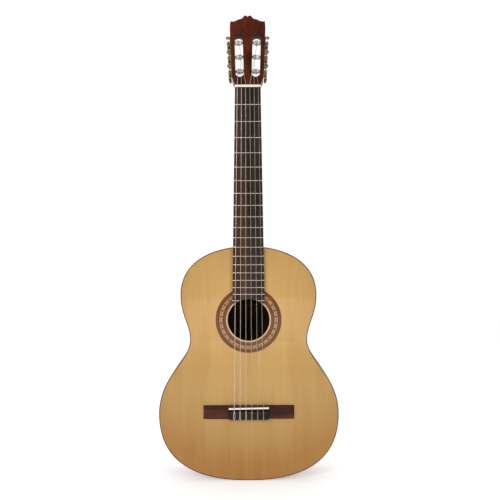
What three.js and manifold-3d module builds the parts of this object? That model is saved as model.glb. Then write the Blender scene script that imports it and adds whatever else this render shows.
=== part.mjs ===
// Classical guitar, full size, 650 mm scale, with a slotted head and six worm-gear tuning machines.
//
// Frame: millimetres. +Z runs up the guitar from the tail to the head, the soundboard faces -Y, and +X is the
// treble side. The origin is the middle of the tail end of the body, halfway through its depth.

import * as THREE from "three";
import { mergeVertices } from "three/addons/utils/BufferGeometryUtils.js";
import Module from "manifold-3d";

const wasm = await Module();
wasm.setup();

// ---------------------------------------------------------------- driving dimensions

const GAP = 0.3; // clearance kept between pieces that touch

const SCALE = 650; // nut to saddle
const BODY_LENGTH = 474.3;
const NUT_Z = BODY_LENGTH + SCALE / 2; // the scale starts here: its 12th fret, halfway, is over the body's edge
const NUT_SET = 1.2; // the nut stands this much nearer to the first fret, which keeps the low frets in tune
const NUT_FRONT = NUT_Z - NUT_SET;
const TAIL_DEPTH = 98;
const HEEL_DEPTH = 94;
const FRONT = -TAIL_DEPTH / 2; // the soundboard's outer face
const BACK = TAIL_DEPTH / 2; // the back's outer face, at the tail

// Half of the body outline: [half-width, height] of its widest and narrowest places.
const LOWER_BOUT = [182.8, 135.4];
const WAIST = [119, 285.7];
const UPPER_BOUT = [138.3, 376.8];
const NECK_SEAT = 31; // half-width of the flat on which the heel sits

const TOP_THICK = 2.5;
const BACK_THICK = 2.7;
const SIDE_THICK = 2.2;
const BINDING = { wide: 2, deep: 5 };
const LINING = { wide: 6, deep: 14 };
const HOLE_Z = 326.5;
const HOLE_R = 42.7;
const ROSETTE = { inner: 47.2, outer: 66.9, deep: 1.2 };

const BOARD_THICK = 6.5;
const BOARD_END_Z = 360.4;
const NUT_WIDTH = 52;
const BODY_WIDTH = 62; // fingerboard width at the 12th fret
const FRET = { wide: 2, high: 1.1, tang: 0.5, tangDeep: 1.6 };
const FRETS = 19;
const NUT = { thick: 5.2, high: 8.7 };
const NECK_DEPTH = 14.5; // wood behind the fingerboard at the nut
const NECK_DEPTH_BODY = 17.5;

const BRIDGE = { width: 184, low: 125.9, high: 153, thick: 4, tip: 2.2, ridge: 6.6 };
const TIE = { width: 83, low: 125.2, high: 142, thick: 9 }; // the block that the strings are tied to
const SADDLE = { length: 81, thick: 3, z: 148.4, high: 10.4, slant: -0.018 };
const TIE_HOLE_R = 1;
const TIE_HOLE_UP = 4.6; // height of the tie holes above the soundboard

const STRING_R = [0.545, 0.445, 0.37, 0.51, 0.41, 0.355]; // string_6 to string_1, bass to treble
const NUT_SPACING = 8.5;
const SADDLE_SPACING = 11.8;

const HEAD_TILT = THREE.MathUtils.degToRad(17);
const HEAD_Y = FRONT - 3; // head face at the back of the nut
const HEAD_Z = NUT_FRONT + NUT.thick;
const VENEER = 2;
const HEAD_THICK = 20;
const HEAD_SIDE = { low: [31.7, 18], high: [37.2, 130] }; // [half-width, distance up the head]
const SLOT = { low: 19.8, high: 123.6, width: 17, lowX: 16.3, highX: 19 };
const RAMP = { low: 12.6, high: 24.6, deep: 3.4, wide: 14 };
const ROLLER_UP = [37.2, 71.3, 105.4];
const ROLLER = { deep: 10, radius: 5, length: 13.4, shaft: 2.9, hole: 3.25, bury: 6 };
const PLATE = { thick: 1.2, low: 21.8, high: 123, front: 3.2, back: 17.2 };
const GEAR = { teeth: 14, tip: 4.5, root: 3.7, thick: 3.6 };
const WORM = { radius: 2.5, length: 7.2, offset: -7.4, shaft: 1.4, out: 2.9 };
const LUG = { thick: 1.4, wide: 5.6, out: 5.8 };
const BUTTON = { low: 20, high: 35, wide: 7.2, thick: 3.2, turn: 0.17 };
const SCROLL = { up: [50.4, 84.5, 118.6], reach: 10, radius: 3.2, bar: 1.6, wide: 4 };

// ---------------------------------------------------------------- materials

const paint = (color, roughness, metalness = 0) =>
  new THREE.MeshStandardMaterial({ color, roughness, metalness });

const SPRUCE = () => paint(0xd9ab66, 0.32);
const MAHOGANY = () => paint(0x6e3b22, 0.4);
const ROSEWOOD = () => paint(0x4a2417, 0.38);
const EBONY = () => paint(0x2a2220, 0.5);
const DARK_EDGE = () => paint(0x2b1711, 0.35);
const INNER_WOOD = () => paint(0xc9a36a, 0.7);
const BONE = () => paint(0xeee6d2, 0.4);
const SILVER = () => paint(0xc4c5c4, 0.25, 1);
const GOLD = () => paint(0xb59a5e, 0.3, 1);
const NYLON = () => paint(0xe6e2d8, 0.3);
const INLAY = () => paint(0x9a6b45, 0.4);
const BLACK_PLASTIC = () => paint(0x17120f, 0.25);

// ---------------------------------------------------------------- solids

function toSolid(geometry) {
  const plain = geometry.clone();
  plain.deleteAttribute("normal");
  plain.deleteAttribute("uv");
  const merged = mergeVertices(plain, 1e-4);
  return new wasm.Manifold(
    new wasm.Mesh({
      numProp: 3,
      vertProperties: merged.attributes.position.array,
      triVerts: new Uint32Array(merged.index.array),
    }),
  );
}

function toGeometry(solid) {
  const mesh = solid.getMesh();
  const geometry = new THREE.BufferGeometry();
  geometry.setAttribute("position", new THREE.BufferAttribute(mesh.vertProperties, 3));
  geometry.setIndex(new THREE.BufferAttribute(mesh.triVerts, 1));
  geometry.computeVertexNormals();
  return geometry;
}

const join = (...geometries) =>
  toGeometry(geometries.map(toSolid).reduce((sum, next) => sum.add(next)));

const cut = (geometry, ...tools) =>
  toGeometry(tools.map(toSolid).reduce((rest, tool) => rest.subtract(tool), toSolid(geometry)));

function box(low, high) {
  const size = high.map((value, i) => value - low[i]);
  const centre = high.map((value, i) => (value + low[i]) / 2);
  return new THREE.BoxGeometry(...size).translate(...centre);
}

// A shape drawn in X and Z, given depth along Y from front to back.
function slab(shape, front, back, segments = 12) {
  return new THREE.ExtrudeGeometry(shape, {
    depth: back - front,
    bevelEnabled: false,
    curveSegments: segments,
  })
    .rotateX(Math.PI / 2)
    .translate(0, back, 0);
}

// A closed surface through rings with the same number of points, capped at both ends.
function loft(rings) {
  const around = rings[0].length;
  const points = rings.flat();
  const centre = (ring) =>
    ring.reduce((sum, point) => sum.add(point), new THREE.Vector3()).divideScalar(around);
  const first = points.push(centre(rings[0])) - 1;
  const last = points.push(centre(rings.at(-1))) - 1;
  const faces = [];
  for (let j = 0; j < around; j++) {
    const k = (j + 1) % around;
    for (let i = 0; i < rings.length - 1; i++) {
      const a = i * around + j;
      const b = i * around + k;
      faces.push(a, b, b + around, a, b + around, a + around);
    }
    const end = (rings.length - 1) * around;
    faces.push(first, k, j, last, end + j, end + k);
  }
  const geometry = new THREE.BufferGeometry().setFromPoints(points);
  geometry.setIndex(faces);
  return toSolid(geometry).volume() < 0 ? flipped(geometry) : geometry;
}

function flipped(geometry) {
  const faces = Array.from(geometry.index.array);
  for (let i = 0; i < faces.length; i += 3) faces.splice(i, 3, faces[i], faces[i + 2], faces[i + 1]);
  return geometry.setIndex(faces);
}

// A round bar along X, centred on the given place.
function barX(radius, from, to, y, z, sides = 12) {
  return new THREE.CylinderGeometry(radius, radius, to - from, sides)
    .rotateZ(Math.PI / 2)
    .translate((from + to) / 2, y, z);
}

const smooth = (value, low, high) => THREE.MathUtils.smoothstep(value, low, high);
const mix = THREE.MathUtils.lerp;

// ---------------------------------------------------------------- body outline

const v2 = (x, z) => new THREE.Vector2(x, z);

const halfBody = new THREE.CurvePath();
[
  [v2(0, 0), v2(139, 0), v2(LOWER_BOUT[0], 59.9), v2(...LOWER_BOUT)],
  [v2(...LOWER_BOUT), v2(LOWER_BOUT[0], 211.9), v2(WAIST[0], 245.8), v2(...WAIST)],
  [v2(...WAIST), v2(WAIST[0], 316.7), v2(UPPER_BOUT[0], 336.1), v2(...UPPER_BOUT)],
  [v2(...UPPER_BOUT), v2(UPPER_BOUT[0], 453.6), v2(61.3, 470.4), v2(NECK_SEAT, BODY_LENGTH)],
].forEach((points) => halfBody.add(new THREE.CubicBezierCurve(...points)));
const HALF_POINTS = halfBody.getPoints(7);

// The body outline moved inwards, as a ring of points that starts at the tail.
function bodyRing(inset) {
  const half = HALF_POINTS.map((point, i) => {
    const before = HALF_POINTS[Math.max(i - 1, 0)];
    const after = HALF_POINTS[Math.min(i + 1, HALF_POINTS.length - 1)];
    const along = after.clone().sub(before).normalize();
    const inwards = v2(-along.y, along.x);
    if (i === 0 || i === HALF_POINTS.length - 1) inwards.set(0, i === 0 ? 1 : -1);
    return point.clone().addScaledVector(inwards, inset);
  });
  const mirrored = half.slice(1).map((point) => v2(-point.x, point.y));
  return [...half, ...mirrored.reverse()];
}

const bodyShape = (inset) => new THREE.Shape(bodyRing(inset));

function ringShape(outer, inner) {
  const shape = bodyShape(outer);
  shape.holes.push(new THREE.Path(bodyRing(inner)));
  return shape;
}

// Half-width of the body at a height, moved inwards.
function halfWidthAt(z, inset) {
  const half = bodyRing(inset).slice(0, HALF_POINTS.length);
  const i = half.findIndex((point, k) => k > 0 && point.y >= z);
  const [low, high] = [half[i - 1], half[i]];
  return mix(low.x, high.x, (z - low.y) / (high.y - low.y));
}

// The back leans in towards the neck: points behind the limit move with it.
const lean = (z) => ((HEEL_DEPTH - TAIL_DEPTH) * z) / BODY_LENGTH;

function leanBack(geometry, limit = -Infinity) {
  const place = geometry.attributes.position;
  for (let i = 0; i < place.count; i++)
    if (place.getY(i) > limit) place.setY(i, place.getY(i) + lean(place.getZ(i)));
  return geometry;
}

// ---------------------------------------------------------------- body

const TOP_INNER = FRONT + TOP_THICK;
const BACK_INNER = BACK - BACK_THICK;

function circle(radius) {
  return new THREE.Shape().absarc(0, HOLE_Z, radius, 0, 2 * Math.PI, false);
}

function ring(outer, inner) {
  const shape = circle(outer);
  shape.holes.push(new THREE.Path().absarc(0, HOLE_Z, inner, 0, 2 * Math.PI, true));
  return shape;
}

function soundboard() {
  const plate = slab(bodyShape(BINDING.wide + GAP), FRONT, TOP_INNER);
  const hole = slab(circle(HOLE_R), FRONT - 1, TOP_INNER + 1, 18);
  const channel = slab(
    ring(ROSETTE.outer + GAP, ROSETTE.inner - GAP),
    FRONT - 1,
    FRONT + ROSETTE.deep + GAP,
    18,
  );
  return cut(plate, hole, channel);
}

const rosette = () => slab(ring(ROSETTE.outer, ROSETTE.inner), FRONT, FRONT + ROSETTE.deep, 18);
const backPanel = () => leanBack(slab(bodyShape(BINDING.wide + GAP), BACK_INNER, BACK));

// One side: the treble half of the outline as a bent strip, or its mirror image.
function sidePanel(sign) {
  const outer = [...bodyRing(0).slice(0, HALF_POINTS.length), v2(0, BODY_LENGTH)];
  const inner = bodyRing(SIDE_THICK).slice(0, HALF_POINTS.length);
  inner.push(v2(0, BODY_LENGTH - SIDE_THICK));
  const outline = [...outer, ...inner.reverse()];
  outline.forEach((point) => point.setX(sign * Math.max(point.x, GAP / 2)));
  const strip = slab(
    new THREE.Shape(outline),
    FRONT + BINDING.deep + GAP,
    BACK - BINDING.deep - GAP,
  );
  return leanBack(strip, 0);
}

const topBinding = () => slab(ringShape(0, BINDING.wide), FRONT, FRONT + BINDING.deep);
const backBinding = () => leanBack(slab(ringShape(0, BINDING.wide), BACK - BINDING.deep, BACK));

const LINING_IN = SIDE_THICK + GAP;
const liningShape = (grow) => ringShape(LINING_IN - grow, LINING_IN + LINING.wide + grow);

function topLining(grow = 0) {
  return slab(liningShape(grow), TOP_INNER + GAP - grow, TOP_INNER + LINING.deep + grow);
}

function backLining(grow = 0) {
  return leanBack(
    slab(liningShape(grow), BACK_INNER - LINING.deep - grow, BACK_INNER - GAP + grow),
  );
}

// A block glued between the top, the back and the ends of both sides, cut round the linings.
function endBlock(halfWidth, low, high) {
  const block = leanBack(
    box([-halfWidth, TOP_INNER + GAP, low], [halfWidth, BACK_INNER - GAP, high]),
    0,
  );
  const inside = toSolid(
    slab(bodyShape(SIDE_THICK + GAP), FRONT - 1, BACK + 1),
  );
  const trimmed = toGeometry(toSolid(block).intersect(inside));
  return cut(trimmed, topLining(GAP), backLining(GAP));
}

// Seven fan braces from the lower harmonic bar, two bars, two soundhole braces and the bridge patch.
function soundboardBracing() {
  const top = TOP_INNER + GAP;
  const reach = LINING_IN + LINING.wide + GAP;
  const bars = [HOLE_Z - 62, HOLE_Z + 62];
  const pieces = bars.map((z) => {
    const half = halfWidthAt(z, reach) - 2;
    return box([-half, top, z - 3], [half, top + 15, z + 3]);
  });
  [-56, 56].forEach((x) => pieces.push(box([x - 4, top, bars[0]], [x + 4, top + 5, bars[1]])));
  pieces.push(box([-95, top, BRIDGE.low - 4], [95, top + 1.6, BRIDGE.high + 4]));
  for (let i = -3; i <= 3; i++) {
    const high = v2(i * 21, bars[0]);
    const low = v2(i * 36, 44 + 7 * Math.abs(i));
    const brace = box([-2.5, top, -low.distanceTo(high)], [2.5, top + 5, 0]);
    const angle = Math.atan2(low.x - high.x, high.y - low.y);
    pieces.push(brace.rotateY(angle).translate(high.x, 0, high.y));
  }
  return join(...pieces);
}

// Three cross bars and the strip that covers the centre joint of the back.
function backBracing() {
  const face = BACK_INNER - GAP;
  const reach = LINING_IN + LINING.wide + GAP;
  const pieces = [110, 230, 350].map((z) => {
    const half = halfWidthAt(z, reach) - 3;
    return box([-half, face - 14, z - 4], [half, face, z + 4]);
  });
  pieces.push(box([-10, face - 2, 24], [10, face, BODY_LENGTH - 52]));
  return leanBack(join(...pieces));
}

// ---------------------------------------------------------------- bridge and saddle

const SADDLE_LOW = SADDLE.z - 3; // the ridge round the saddle starts here

function bridge() {
  const face = FRONT - GAP;
  const half = BRIDGE.width / 2;
  const wing = new THREE.Shape();
  wing.moveTo(-half, face);
  wing.lineTo(half, face);
  wing.lineTo(half, face - BRIDGE.tip);
  wing.quadraticCurveTo(half - 12, face - BRIDGE.thick, half - 40, face - BRIDGE.thick);
  wing.lineTo(40 - half, face - BRIDGE.thick);
  wing.quadraticCurveTo(12 - half, face - BRIDGE.thick, -half, face - BRIDGE.tip);
  const wings = new THREE.ExtrudeGeometry(wing, {
    depth: BRIDGE.high - BRIDGE.low,
    bevelEnabled: false,
    curveSegments: 4,
  }).translate(0, 0, BRIDGE.low);
  const middle = TIE.width / 2;
  const deep = face - TIE.thick;
  const tie = box([-middle, deep, TIE.low], [middle, face - 1, TIE.high]);
  const ridge = box([-middle, face - BRIDGE.ridge, SADDLE_LOW], [middle, face - 1, BRIDGE.high]);
  const slot = box(
    [-SADDLE.length / 2 - GAP, deep - 1, -SADDLE.thick / 2 - GAP],
    [SADDLE.length / 2 + GAP, face - 1.6, SADDLE.thick / 2 + GAP],
  )
    .rotateY(SADDLE.slant)
    .translate(0, 0, SADDLE.z);
  const holes = stringPlaces(SADDLE_SPACING).map((x) =>
    new THREE.CylinderGeometry(TIE_HOLE_R, TIE_HOLE_R, TIE.high - TIE.low + 2, 8)
      .rotateX(Math.PI / 2)
      .translate(x, FRONT - TIE_HOLE_UP, (TIE.low + TIE.high) / 2),
  );
  return cut(join(wings, tie, ridge), slot, ...holes);
}

const SADDLE_TOP = FRONT - SADDLE.high;

function saddle() {
  const half = SADDLE.thick / 2;
  const low = FRONT - 2.2;
  const profile = new THREE.Shape();
  profile.moveTo(-half, low);
  profile.lineTo(half, low);
  profile.lineTo(half, SADDLE_TOP + 0.9);
  profile.quadraticCurveTo(half * 0.6, SADDLE_TOP, -half * 0.2, SADDLE_TOP);
  profile.lineTo(-half, SADDLE_TOP + 1.3);
  return new THREE.ExtrudeGeometry(profile, {
    depth: SADDLE.length,
    bevelEnabled: false,
    curveSegments: 3,
  })
    .translate(0, 0, -SADDLE.length / 2)
    .rotateY(-Math.PI / 2 + SADDLE.slant)
    .translate(0, 0, SADDLE.z);
}

// ---------------------------------------------------------------- neck

const boardHalf = (z) => mix(NUT_WIDTH, BODY_WIDTH, (NUT_Z - z) / (SCALE / 2)) / 2;
const fretZ = (n) => NUT_Z - SCALE * (1 - 2 ** (-n / 12));
const BOARD_TOP = FRONT - GAP - BOARD_THICK;
const ARC_R = 43.5; // the board's end follows the soundhole
const arcX = (z) => Math.sqrt(ARC_R ** 2 - (z - HOLE_Z) ** 2);

function fingerboard() {
  const start = Math.atan2(BOARD_END_Z - HOLE_Z, arcX(BOARD_END_Z));
  const outline = new THREE.Shape();
  outline.moveTo(boardHalf(BOARD_END_Z), BOARD_END_Z);
  outline.lineTo(NUT_WIDTH / 2, NUT_FRONT - GAP);
  outline.lineTo(-NUT_WIDTH / 2, NUT_FRONT - GAP);
  outline.lineTo(-boardHalf(BOARD_END_Z), BOARD_END_Z);
  outline.absarc(0, HOLE_Z, ARC_R, Math.PI - start, start, true);
  const board = slab(outline, BOARD_TOP, FRONT - GAP, 10);
  const slots = [];
  for (let n = 1; n <= FRETS; n++) {
    const half = FRET.tang / 2 + GAP;
    slots.push(
      box(
        [-40, BOARD_TOP - 1, fretZ(n) - half],
        [40, BOARD_TOP + FRET.tangDeep + GAP, fretZ(n) + half],
      ),
    );
  }
  return cut(board, ...slots);
}

// A fret: a low crown on the board and a tang in its slot.
function fretBar(z, from, to) {
  const crown = BOARD_TOP - GAP / 2;
  const wide = FRET.wide / 2;
  const tang = FRET.tang / 2;
  const profile = new THREE.Shape();
  profile.moveTo(-wide, crown);
  profile.lineTo(-tang, crown);
  profile.lineTo(-tang, BOARD_TOP + FRET.tangDeep);
  profile.lineTo(tang, BOARD_TOP + FRET.tangDeep);
  profile.lineTo(tang, crown);
  profile.lineTo(wide, crown);
  profile.quadraticCurveTo(wide * 0.7, crown - FRET.high, 0, crown - FRET.high);
  profile.quadraticCurveTo(-wide * 0.7, crown - FRET.high, -wide, crown);
  return new THREE.ExtrudeGeometry(profile, {
    depth: to - from,
    bevelEnabled: false,
    curveSegments: 2,
  })
    .rotateY(-Math.PI / 2)
    .translate(to, 0, z);
}

function nut() {
  const floor = FRONT - GAP;
  const profile = new THREE.Shape();
  profile.moveTo(0, floor);
  profile.lineTo(NUT.thick, floor);
  profile.lineTo(NUT.thick, floor - NUT.high + 2.6);
  profile.quadraticCurveTo(NUT.thick - 0.6, floor - NUT.high + 0.2, 1, floor - NUT.high);
  profile.lineTo(0, floor - NUT.high);
  const block = new THREE.ExtrudeGeometry(profile, {
    depth: NUT_WIDTH,
    bevelEnabled: false,
    curveSegments: 4,
  })
    .rotateY(-Math.PI / 2)
    .translate(NUT_WIDTH / 2, 0, NUT_FRONT);
  const grooves = stringPlaces(NUT_SPACING).map((x, i) => {
    const half = STRING_R[i] + GAP / 2;
    const groove = box([-half, -6, -1], [half, NUT_GROOVE_DEEP, NUT.thick + 4]);
    return groove.rotateX(NUT_GROOVE_TILT).translate(x, NUT_TOP, NUT_FRONT);
  });
  return cut(block, ...grooves);
}

const NUT_TOP = FRONT - GAP - NUT.high;
const NUT_GROOVE_DEEP = 0.9;
const NUT_GROOVE_TILT = -THREE.MathUtils.degToRad(8); // the grooves fall towards the head

// Half sections of the neck shaft: a soft D behind the fingerboard.
function shaftRing(z, depth, half, front = FRONT) {
  const points = [];
  const STEPS = 10;
  for (let i = 0; i <= STEPS; i++) {
    const angle = (Math.PI * i) / STEPS;
    const side = Math.sign(Math.cos(angle)) * Math.abs(Math.cos(angle)) ** 0.8;
    points.push(new THREE.Vector3(half * side, front + depth * Math.sin(angle) ** 0.85, z));
  }
  return points;
}

// Sections of the heel, cut parallel to the soundboard: a tongue that stands out from the body.
function heelRing(y, half, length) {
  const points = [];
  const STEPS = 10;
  const foot = BODY_LENGTH + GAP;
  for (let i = 0; i <= STEPS; i++) {
    const angle = (Math.PI * i) / STEPS;
    const side = Math.sign(Math.cos(angle)) * Math.abs(Math.cos(angle)) ** 0.75;
    points.push(new THREE.Vector3(half * side, y, foot + length * Math.sin(angle) ** 0.9));
  }
  return points;
}

const HEEL_CAP_THICK = 2.5;
const HEEL_END = BACK + lean(BODY_LENGTH) - HEEL_CAP_THICK - GAP;
const HEEL = { half: 11.5, length: 14 }; // the foot of the heel, at the cap

function headGroup() {
  const group = new THREE.Group();
  group.position.set(0, HEAD_Y, HEAD_Z);
  group.rotation.x = -HEAD_TILT;
  return group;
}

// Half of the head outline, from the nut to the middle of the crown.
function halfHead(low) {
  const path = new THREE.CurvePath();
  const side = HEAD_SIDE;
  path.add(new THREE.LineCurve(v2(0, low), v2(26.1, low)));
  path.add(new THREE.CubicBezierCurve(v2(26.1, low), v2(26.6, 8), v2(31.2, 10), v2(...side.low)));
  path.add(new THREE.LineCurve(v2(...side.low), v2(...side.high)));
  path.add(new THREE.QuadraticBezierCurve(v2(...side.high), v2(37.6, 140), v2(36.4, 153)));
  path.add(new THREE.LineCurve(v2(36.4, 153), v2(31.4, 153)));
  path.add(new THREE.CubicBezierCurve(v2(31.4, 153), v2(24, 153.5), v2(22, 158), v2(14, 159.5)));
  path.add(new THREE.CubicBezierCurve(v2(14, 159.5), v2(9, 161.5), v2(9, 168), v2(4.6, 167.8)));
  path.add(new THREE.QuadraticBezierCurve(v2(4.6, 167.8), v2(1.6, 167.5), v2(0, 164.4)));
  return path.getPoints(5);
}

function slotPath(sign, grow = 0) {
  const half = SLOT.width / 2 + grow;
  const low = v2(sign * SLOT.lowX, SLOT.low + SLOT.width / 2);
  const high = v2(sign * SLOT.highX, SLOT.high - SLOT.width / 2);
  const turn = Math.atan2(high.y - low.y, high.x - low.x);
  const path = new THREE.Path();
  path.absarc(high.x, high.y, half, turn - Math.PI / 2, turn + Math.PI / 2, false);
  path.absarc(low.x, low.y, half, turn + Math.PI / 2, turn + 1.5 * Math.PI, false);
  return path;
}

function headPlate(low, front, back) {
  const half = halfHead(low);
  const mirrored = half.slice(1, -1).map((point) => v2(-point.x, point.y));
  const shape = new THREE.Shape([...half, ...mirrored.reverse()]);
  shape.holes.push(slotPath(-1), slotPath(1));
  return slab(shape, front, back, 6);
}

// The ramps that let the strings down into the slots.
function slotRamps() {
  const wedge = [v2(-1, RAMP.low), v2(-1, RAMP.high), v2(RAMP.deep, RAMP.high)];
  return [-1, 1].map((sign) =>
    sheetX(wedge, -RAMP.wide / 2, RAMP.wide / 2).translate(sign * SLOT.lowX, 0, 0),
  );
}

const headVeneer = () => cut(headPlate(1.2, 0, VENEER), ...slotRamps());

// The tuning machines' side frames: X out of the head's side, Z along it, Y through the head.
const SIDE_ANGLE = Math.atan2(
  HEAD_SIDE.high[0] - HEAD_SIDE.low[0],
  HEAD_SIDE.high[1] - HEAD_SIDE.low[1],
);
const MIDDLE_UP = ROLLER_UP[1];
const sideX = (up) =>
  HEAD_SIDE.low[0] + (up - HEAD_SIDE.low[1]) * Math.tan(SIDE_ANGLE);

function sideMatrix(sign) {
  const place = new THREE.Matrix4().makeTranslation(sign * sideX(MIDDLE_UP), 0, MIDDLE_UP);
  return place.multiply(new THREE.Matrix4().makeRotationY(sign * SIDE_ANGLE));
}

// Heights of the rollers along the side, from its middle.
const rollerAlong = ROLLER_UP.map((up) => (up - MIDDLE_UP) / Math.cos(SIDE_ANGLE));
const SLOT_CENTRE_X = -16.6; // the slot's middle, from the head's side

function neck() {
  const rings = [];
  const fromZ = BODY_LENGTH + GAP;
  const toZ = HEAD_Z + 0.5;
  const stations = [fromZ, 540, 620, 700, 770, 785, 793, NUT_FRONT, toZ];
  stations.forEach((z) => {
    const depth = mix(NECK_DEPTH_BODY, NECK_DEPTH, (z - fromZ) / (NUT_Z - fromZ));
    rings.push(shaftRing(z, depth + 2 * smooth(z, 782, NUT_Z), boardHalf(Math.min(z, NUT_Z))));
  });
  const shaft = loft(rings);
  const heelStations = [0.04, 0.12, 0.2, 0.3, 0.42, 0.56, 0.72, 0.88, 1];
  const heel = loft(
    heelStations.map((t) => {
      const fall = (1 - t) ** 2.6;
      const half = mix(HEEL.half, NECK_SEAT - 0.4, (1 - t) ** 1.5);
      return heelRing(mix(FRONT, HEEL_END, t), half, HEEL.length + 105 * fall);
    }),
  );
  const core = cut(headPlate(1.4, VENEER + GAP, HEAD_THICK), ...slotRamps());
  const head = headGroup();
  head.updateMatrix();
  core.applyMatrix4(head.matrix);
  const holes = [];
  [-1, 1].forEach((sign) =>
    rollerAlong.forEach((along) => {
      const inner = sign * (SLOT_CENTRE_X - SLOT.width / 2 - ROLLER.bury - GAP);
      const hole = barX(ROLLER.hole, ...[inner, sign * 6].sort((a, b) => a - b), ROLLER.deep, along);
      hole.applyMatrix4(sideMatrix(sign)).applyMatrix4(head.matrix);
      holes.push(hole);
    }),
  );
  return cut(join(shaft, heel, core), ...holes);
}

function heelCap() {
  const front = heelRing(HEEL_END + GAP, HEEL.half, HEEL.length);
  const back = heelRing(HEEL_END + GAP + HEEL_CAP_THICK, HEEL.half, HEEL.length);
  return loft([front, back]);
}

// ---------------------------------------------------------------- tuning machines, in a side's frame

// The plate's outline: a waisted strip with lobes between the rollers and a scroll at each end.
function plateOutline() {
  const middle = (PLATE.front + PLATE.back) / 2;
  const half = (PLATE.back - PLATE.front) / 2;
  const low = PLATE.low - MIDDLE_UP;
  const high = PLATE.high - MIDDLE_UP;
  const edge = [];
  const STEPS = 20;
  for (let i = 0; i <= STEPS; i++) {
    const along = mix(low, high, i / STEPS);
    const toEnd = Math.min(along - low, high - along);
    const wave = 0.5 + 0.5 * Math.cos((2 * Math.PI * along) / (ROLLER_UP[1] - ROLLER_UP[0]));
    const round = Math.min(1, Math.sqrt(Math.max(toEnd, 0.4) / 6));
    edge.push(v2(half * (0.66 + 0.34 * wave) * round, along));
  }
  const rightSide = edge.map((point) => v2(middle + point.x, point.y));
  const leftSide = edge.map((point) => v2(middle - point.x, point.y));
  return [...rightSide, ...leftSide.reverse()];
}

// A strip in the YZ plane given thickness along X.
function sheetX(points, from, to) {
  return new THREE.ExtrudeGeometry(new THREE.Shape(points), {
    depth: to - from,
    bevelEnabled: false,
  })
    .applyMatrix4(
      new THREE.Matrix4().makeBasis(
        new THREE.Vector3(0, 1, 0),
        new THREE.Vector3(0, 0, 1),
        new THREE.Vector3(1, 0, 0),
      ),
    )
    .translate(from, 0, 0);
}

function mirrorIf(sign, geometry) {
  if (sign > 0) return geometry;
  geometry.scale(-1, 1, 1);
  return flipped(geometry.index ? geometry : mergeVertices(geometry));
}

// An ornamental curl that stands out of the plate: a stem and a hook that turns back towards the nut.
const SCROLL_FROM = 0.75 * Math.PI;
const SCROLL_TO = -0.6 * Math.PI;

function plateScroll(up) {
  const centre = v2(SCROLL.reach - SCROLL.radius, (up - MIDDLE_UP) / Math.cos(SIDE_ANGLE));
  const curl = new THREE.Shape();
  const inner = SCROLL.radius - SCROLL.bar;
  curl.absarc(centre.x, centre.y, SCROLL.radius, SCROLL_FROM, SCROLL_TO, true);
  curl.absarc(centre.x, centre.y, inner, SCROLL_TO, SCROLL_FROM, false);
  const middle = (PLATE.front + PLATE.back) / 2;
  const from = middle - SCROLL.wide / 2;
  const hook = slab(curl, from, from + SCROLL.wide, 4);
  const stemHigh = centre.y + SCROLL.radius * Math.sin(SCROLL_FROM);
  const stem = box(
    [GAP, from, stemHigh - SCROLL.bar],
    [centre.x - inner * 0.75, from + SCROLL.wide, stemHigh],
  );
  return join(hook, stem);
}

function tunerPlate(sign) {
  const pieces = [sheetX(plateOutline(), GAP, GAP + PLATE.thick)];
  const outer = GAP + PLATE.thick;
  const wormX = outer + WORM.out;
  rollerAlong.forEach((along) => {
    [-1, 1].forEach((end) => {
      const middle = ROLLER.deep + end * (WORM.length / 2 + GAP + LUG.thick / 2);
      const up = along + WORM.offset;
      pieces.push(
        box(
          [outer - 0.5, middle - LUG.thick / 2, up - LUG.wide / 2],
          [outer + LUG.out, middle + LUG.thick / 2, up + LUG.wide / 2],
        ),
      );
    });
  });
  pieces.push(...SCROLL.up.map(plateScroll));
  const tools = rollerAlong.flatMap((along) => [
    barX(ROLLER.hole, -1, outer + 0.2, ROLLER.deep, along),
    new THREE.CylinderGeometry(WORM.shaft + GAP, WORM.shaft + GAP, 30, 12).translate(
      wormX,
      ROLLER.deep,
      along + WORM.offset,
    ),
  ]);
  return mirrorIf(sign, cut(join(...pieces), ...tools));
}

function gear(from, to, y, z) {
  const points = [];
  for (let i = 0; i < GEAR.teeth; i++) {
    [GEAR.tip, GEAR.root].forEach((radius, half) => {
      const angle = ((i + half / 2) * 2 * Math.PI) / GEAR.teeth;
      points.push(v2(y + radius * Math.cos(angle), z + radius * Math.sin(angle)));
    });
  }
  return sheetX(points, from, to);
}

function stringRoller(sign, along) {
  const middle = SLOT_CENTRE_X;
  const inner = middle - SLOT.width / 2 - ROLLER.bury;
  const gearFrom = GAP + PLATE.thick + WORM.out - GEAR.thick / 2 + 0.2;
  const barrelHalf = ROLLER.length / 2;
  const solid = join(
    barX(ROLLER.shaft, inner, gearFrom + 1, ROLLER.deep, along),
    barX(ROLLER.radius, middle - barrelHalf, middle + barrelHalf, ROLLER.deep, along),
    gear(gearFrom, gearFrom + GEAR.thick, ROLLER.deep, along),
  );
  return mirrorIf(sign, solid);
}

function tunerKey(sign, along) {
  const x = GAP + PLATE.thick + WORM.out;
  const up = along + WORM.offset;
  const rod = (radius, from, to, sides) =>
    new THREE.CylinderGeometry(radius, radius, to - from, sides).translate(x, (from + to) / 2, up);
  const lowEnd = ROLLER.deep - WORM.length / 2 - LUG.thick - GAP;
  const middle = (BUTTON.low + BUTTON.high) / 2;
  const button = new THREE.SphereGeometry(1, 10, 7)
    .scale(BUTTON.thick, (BUTTON.high - BUTTON.low) / 2, BUTTON.wide)
    .rotateY(BUTTON.turn)
    .translate(x, middle, up);
  const solid = join(
    rod(WORM.shaft, lowEnd, BUTTON.low + 4, 8),
    rod(WORM.radius, ROLLER.deep - WORM.length / 2, ROLLER.deep + WORM.length / 2, 10),
    rod(2.4, BUTTON.low - 3, BUTTON.low + 2, 8),
    button,
  );
  return mirrorIf(sign, solid);
}

// ---------------------------------------------------------------- strings

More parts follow.
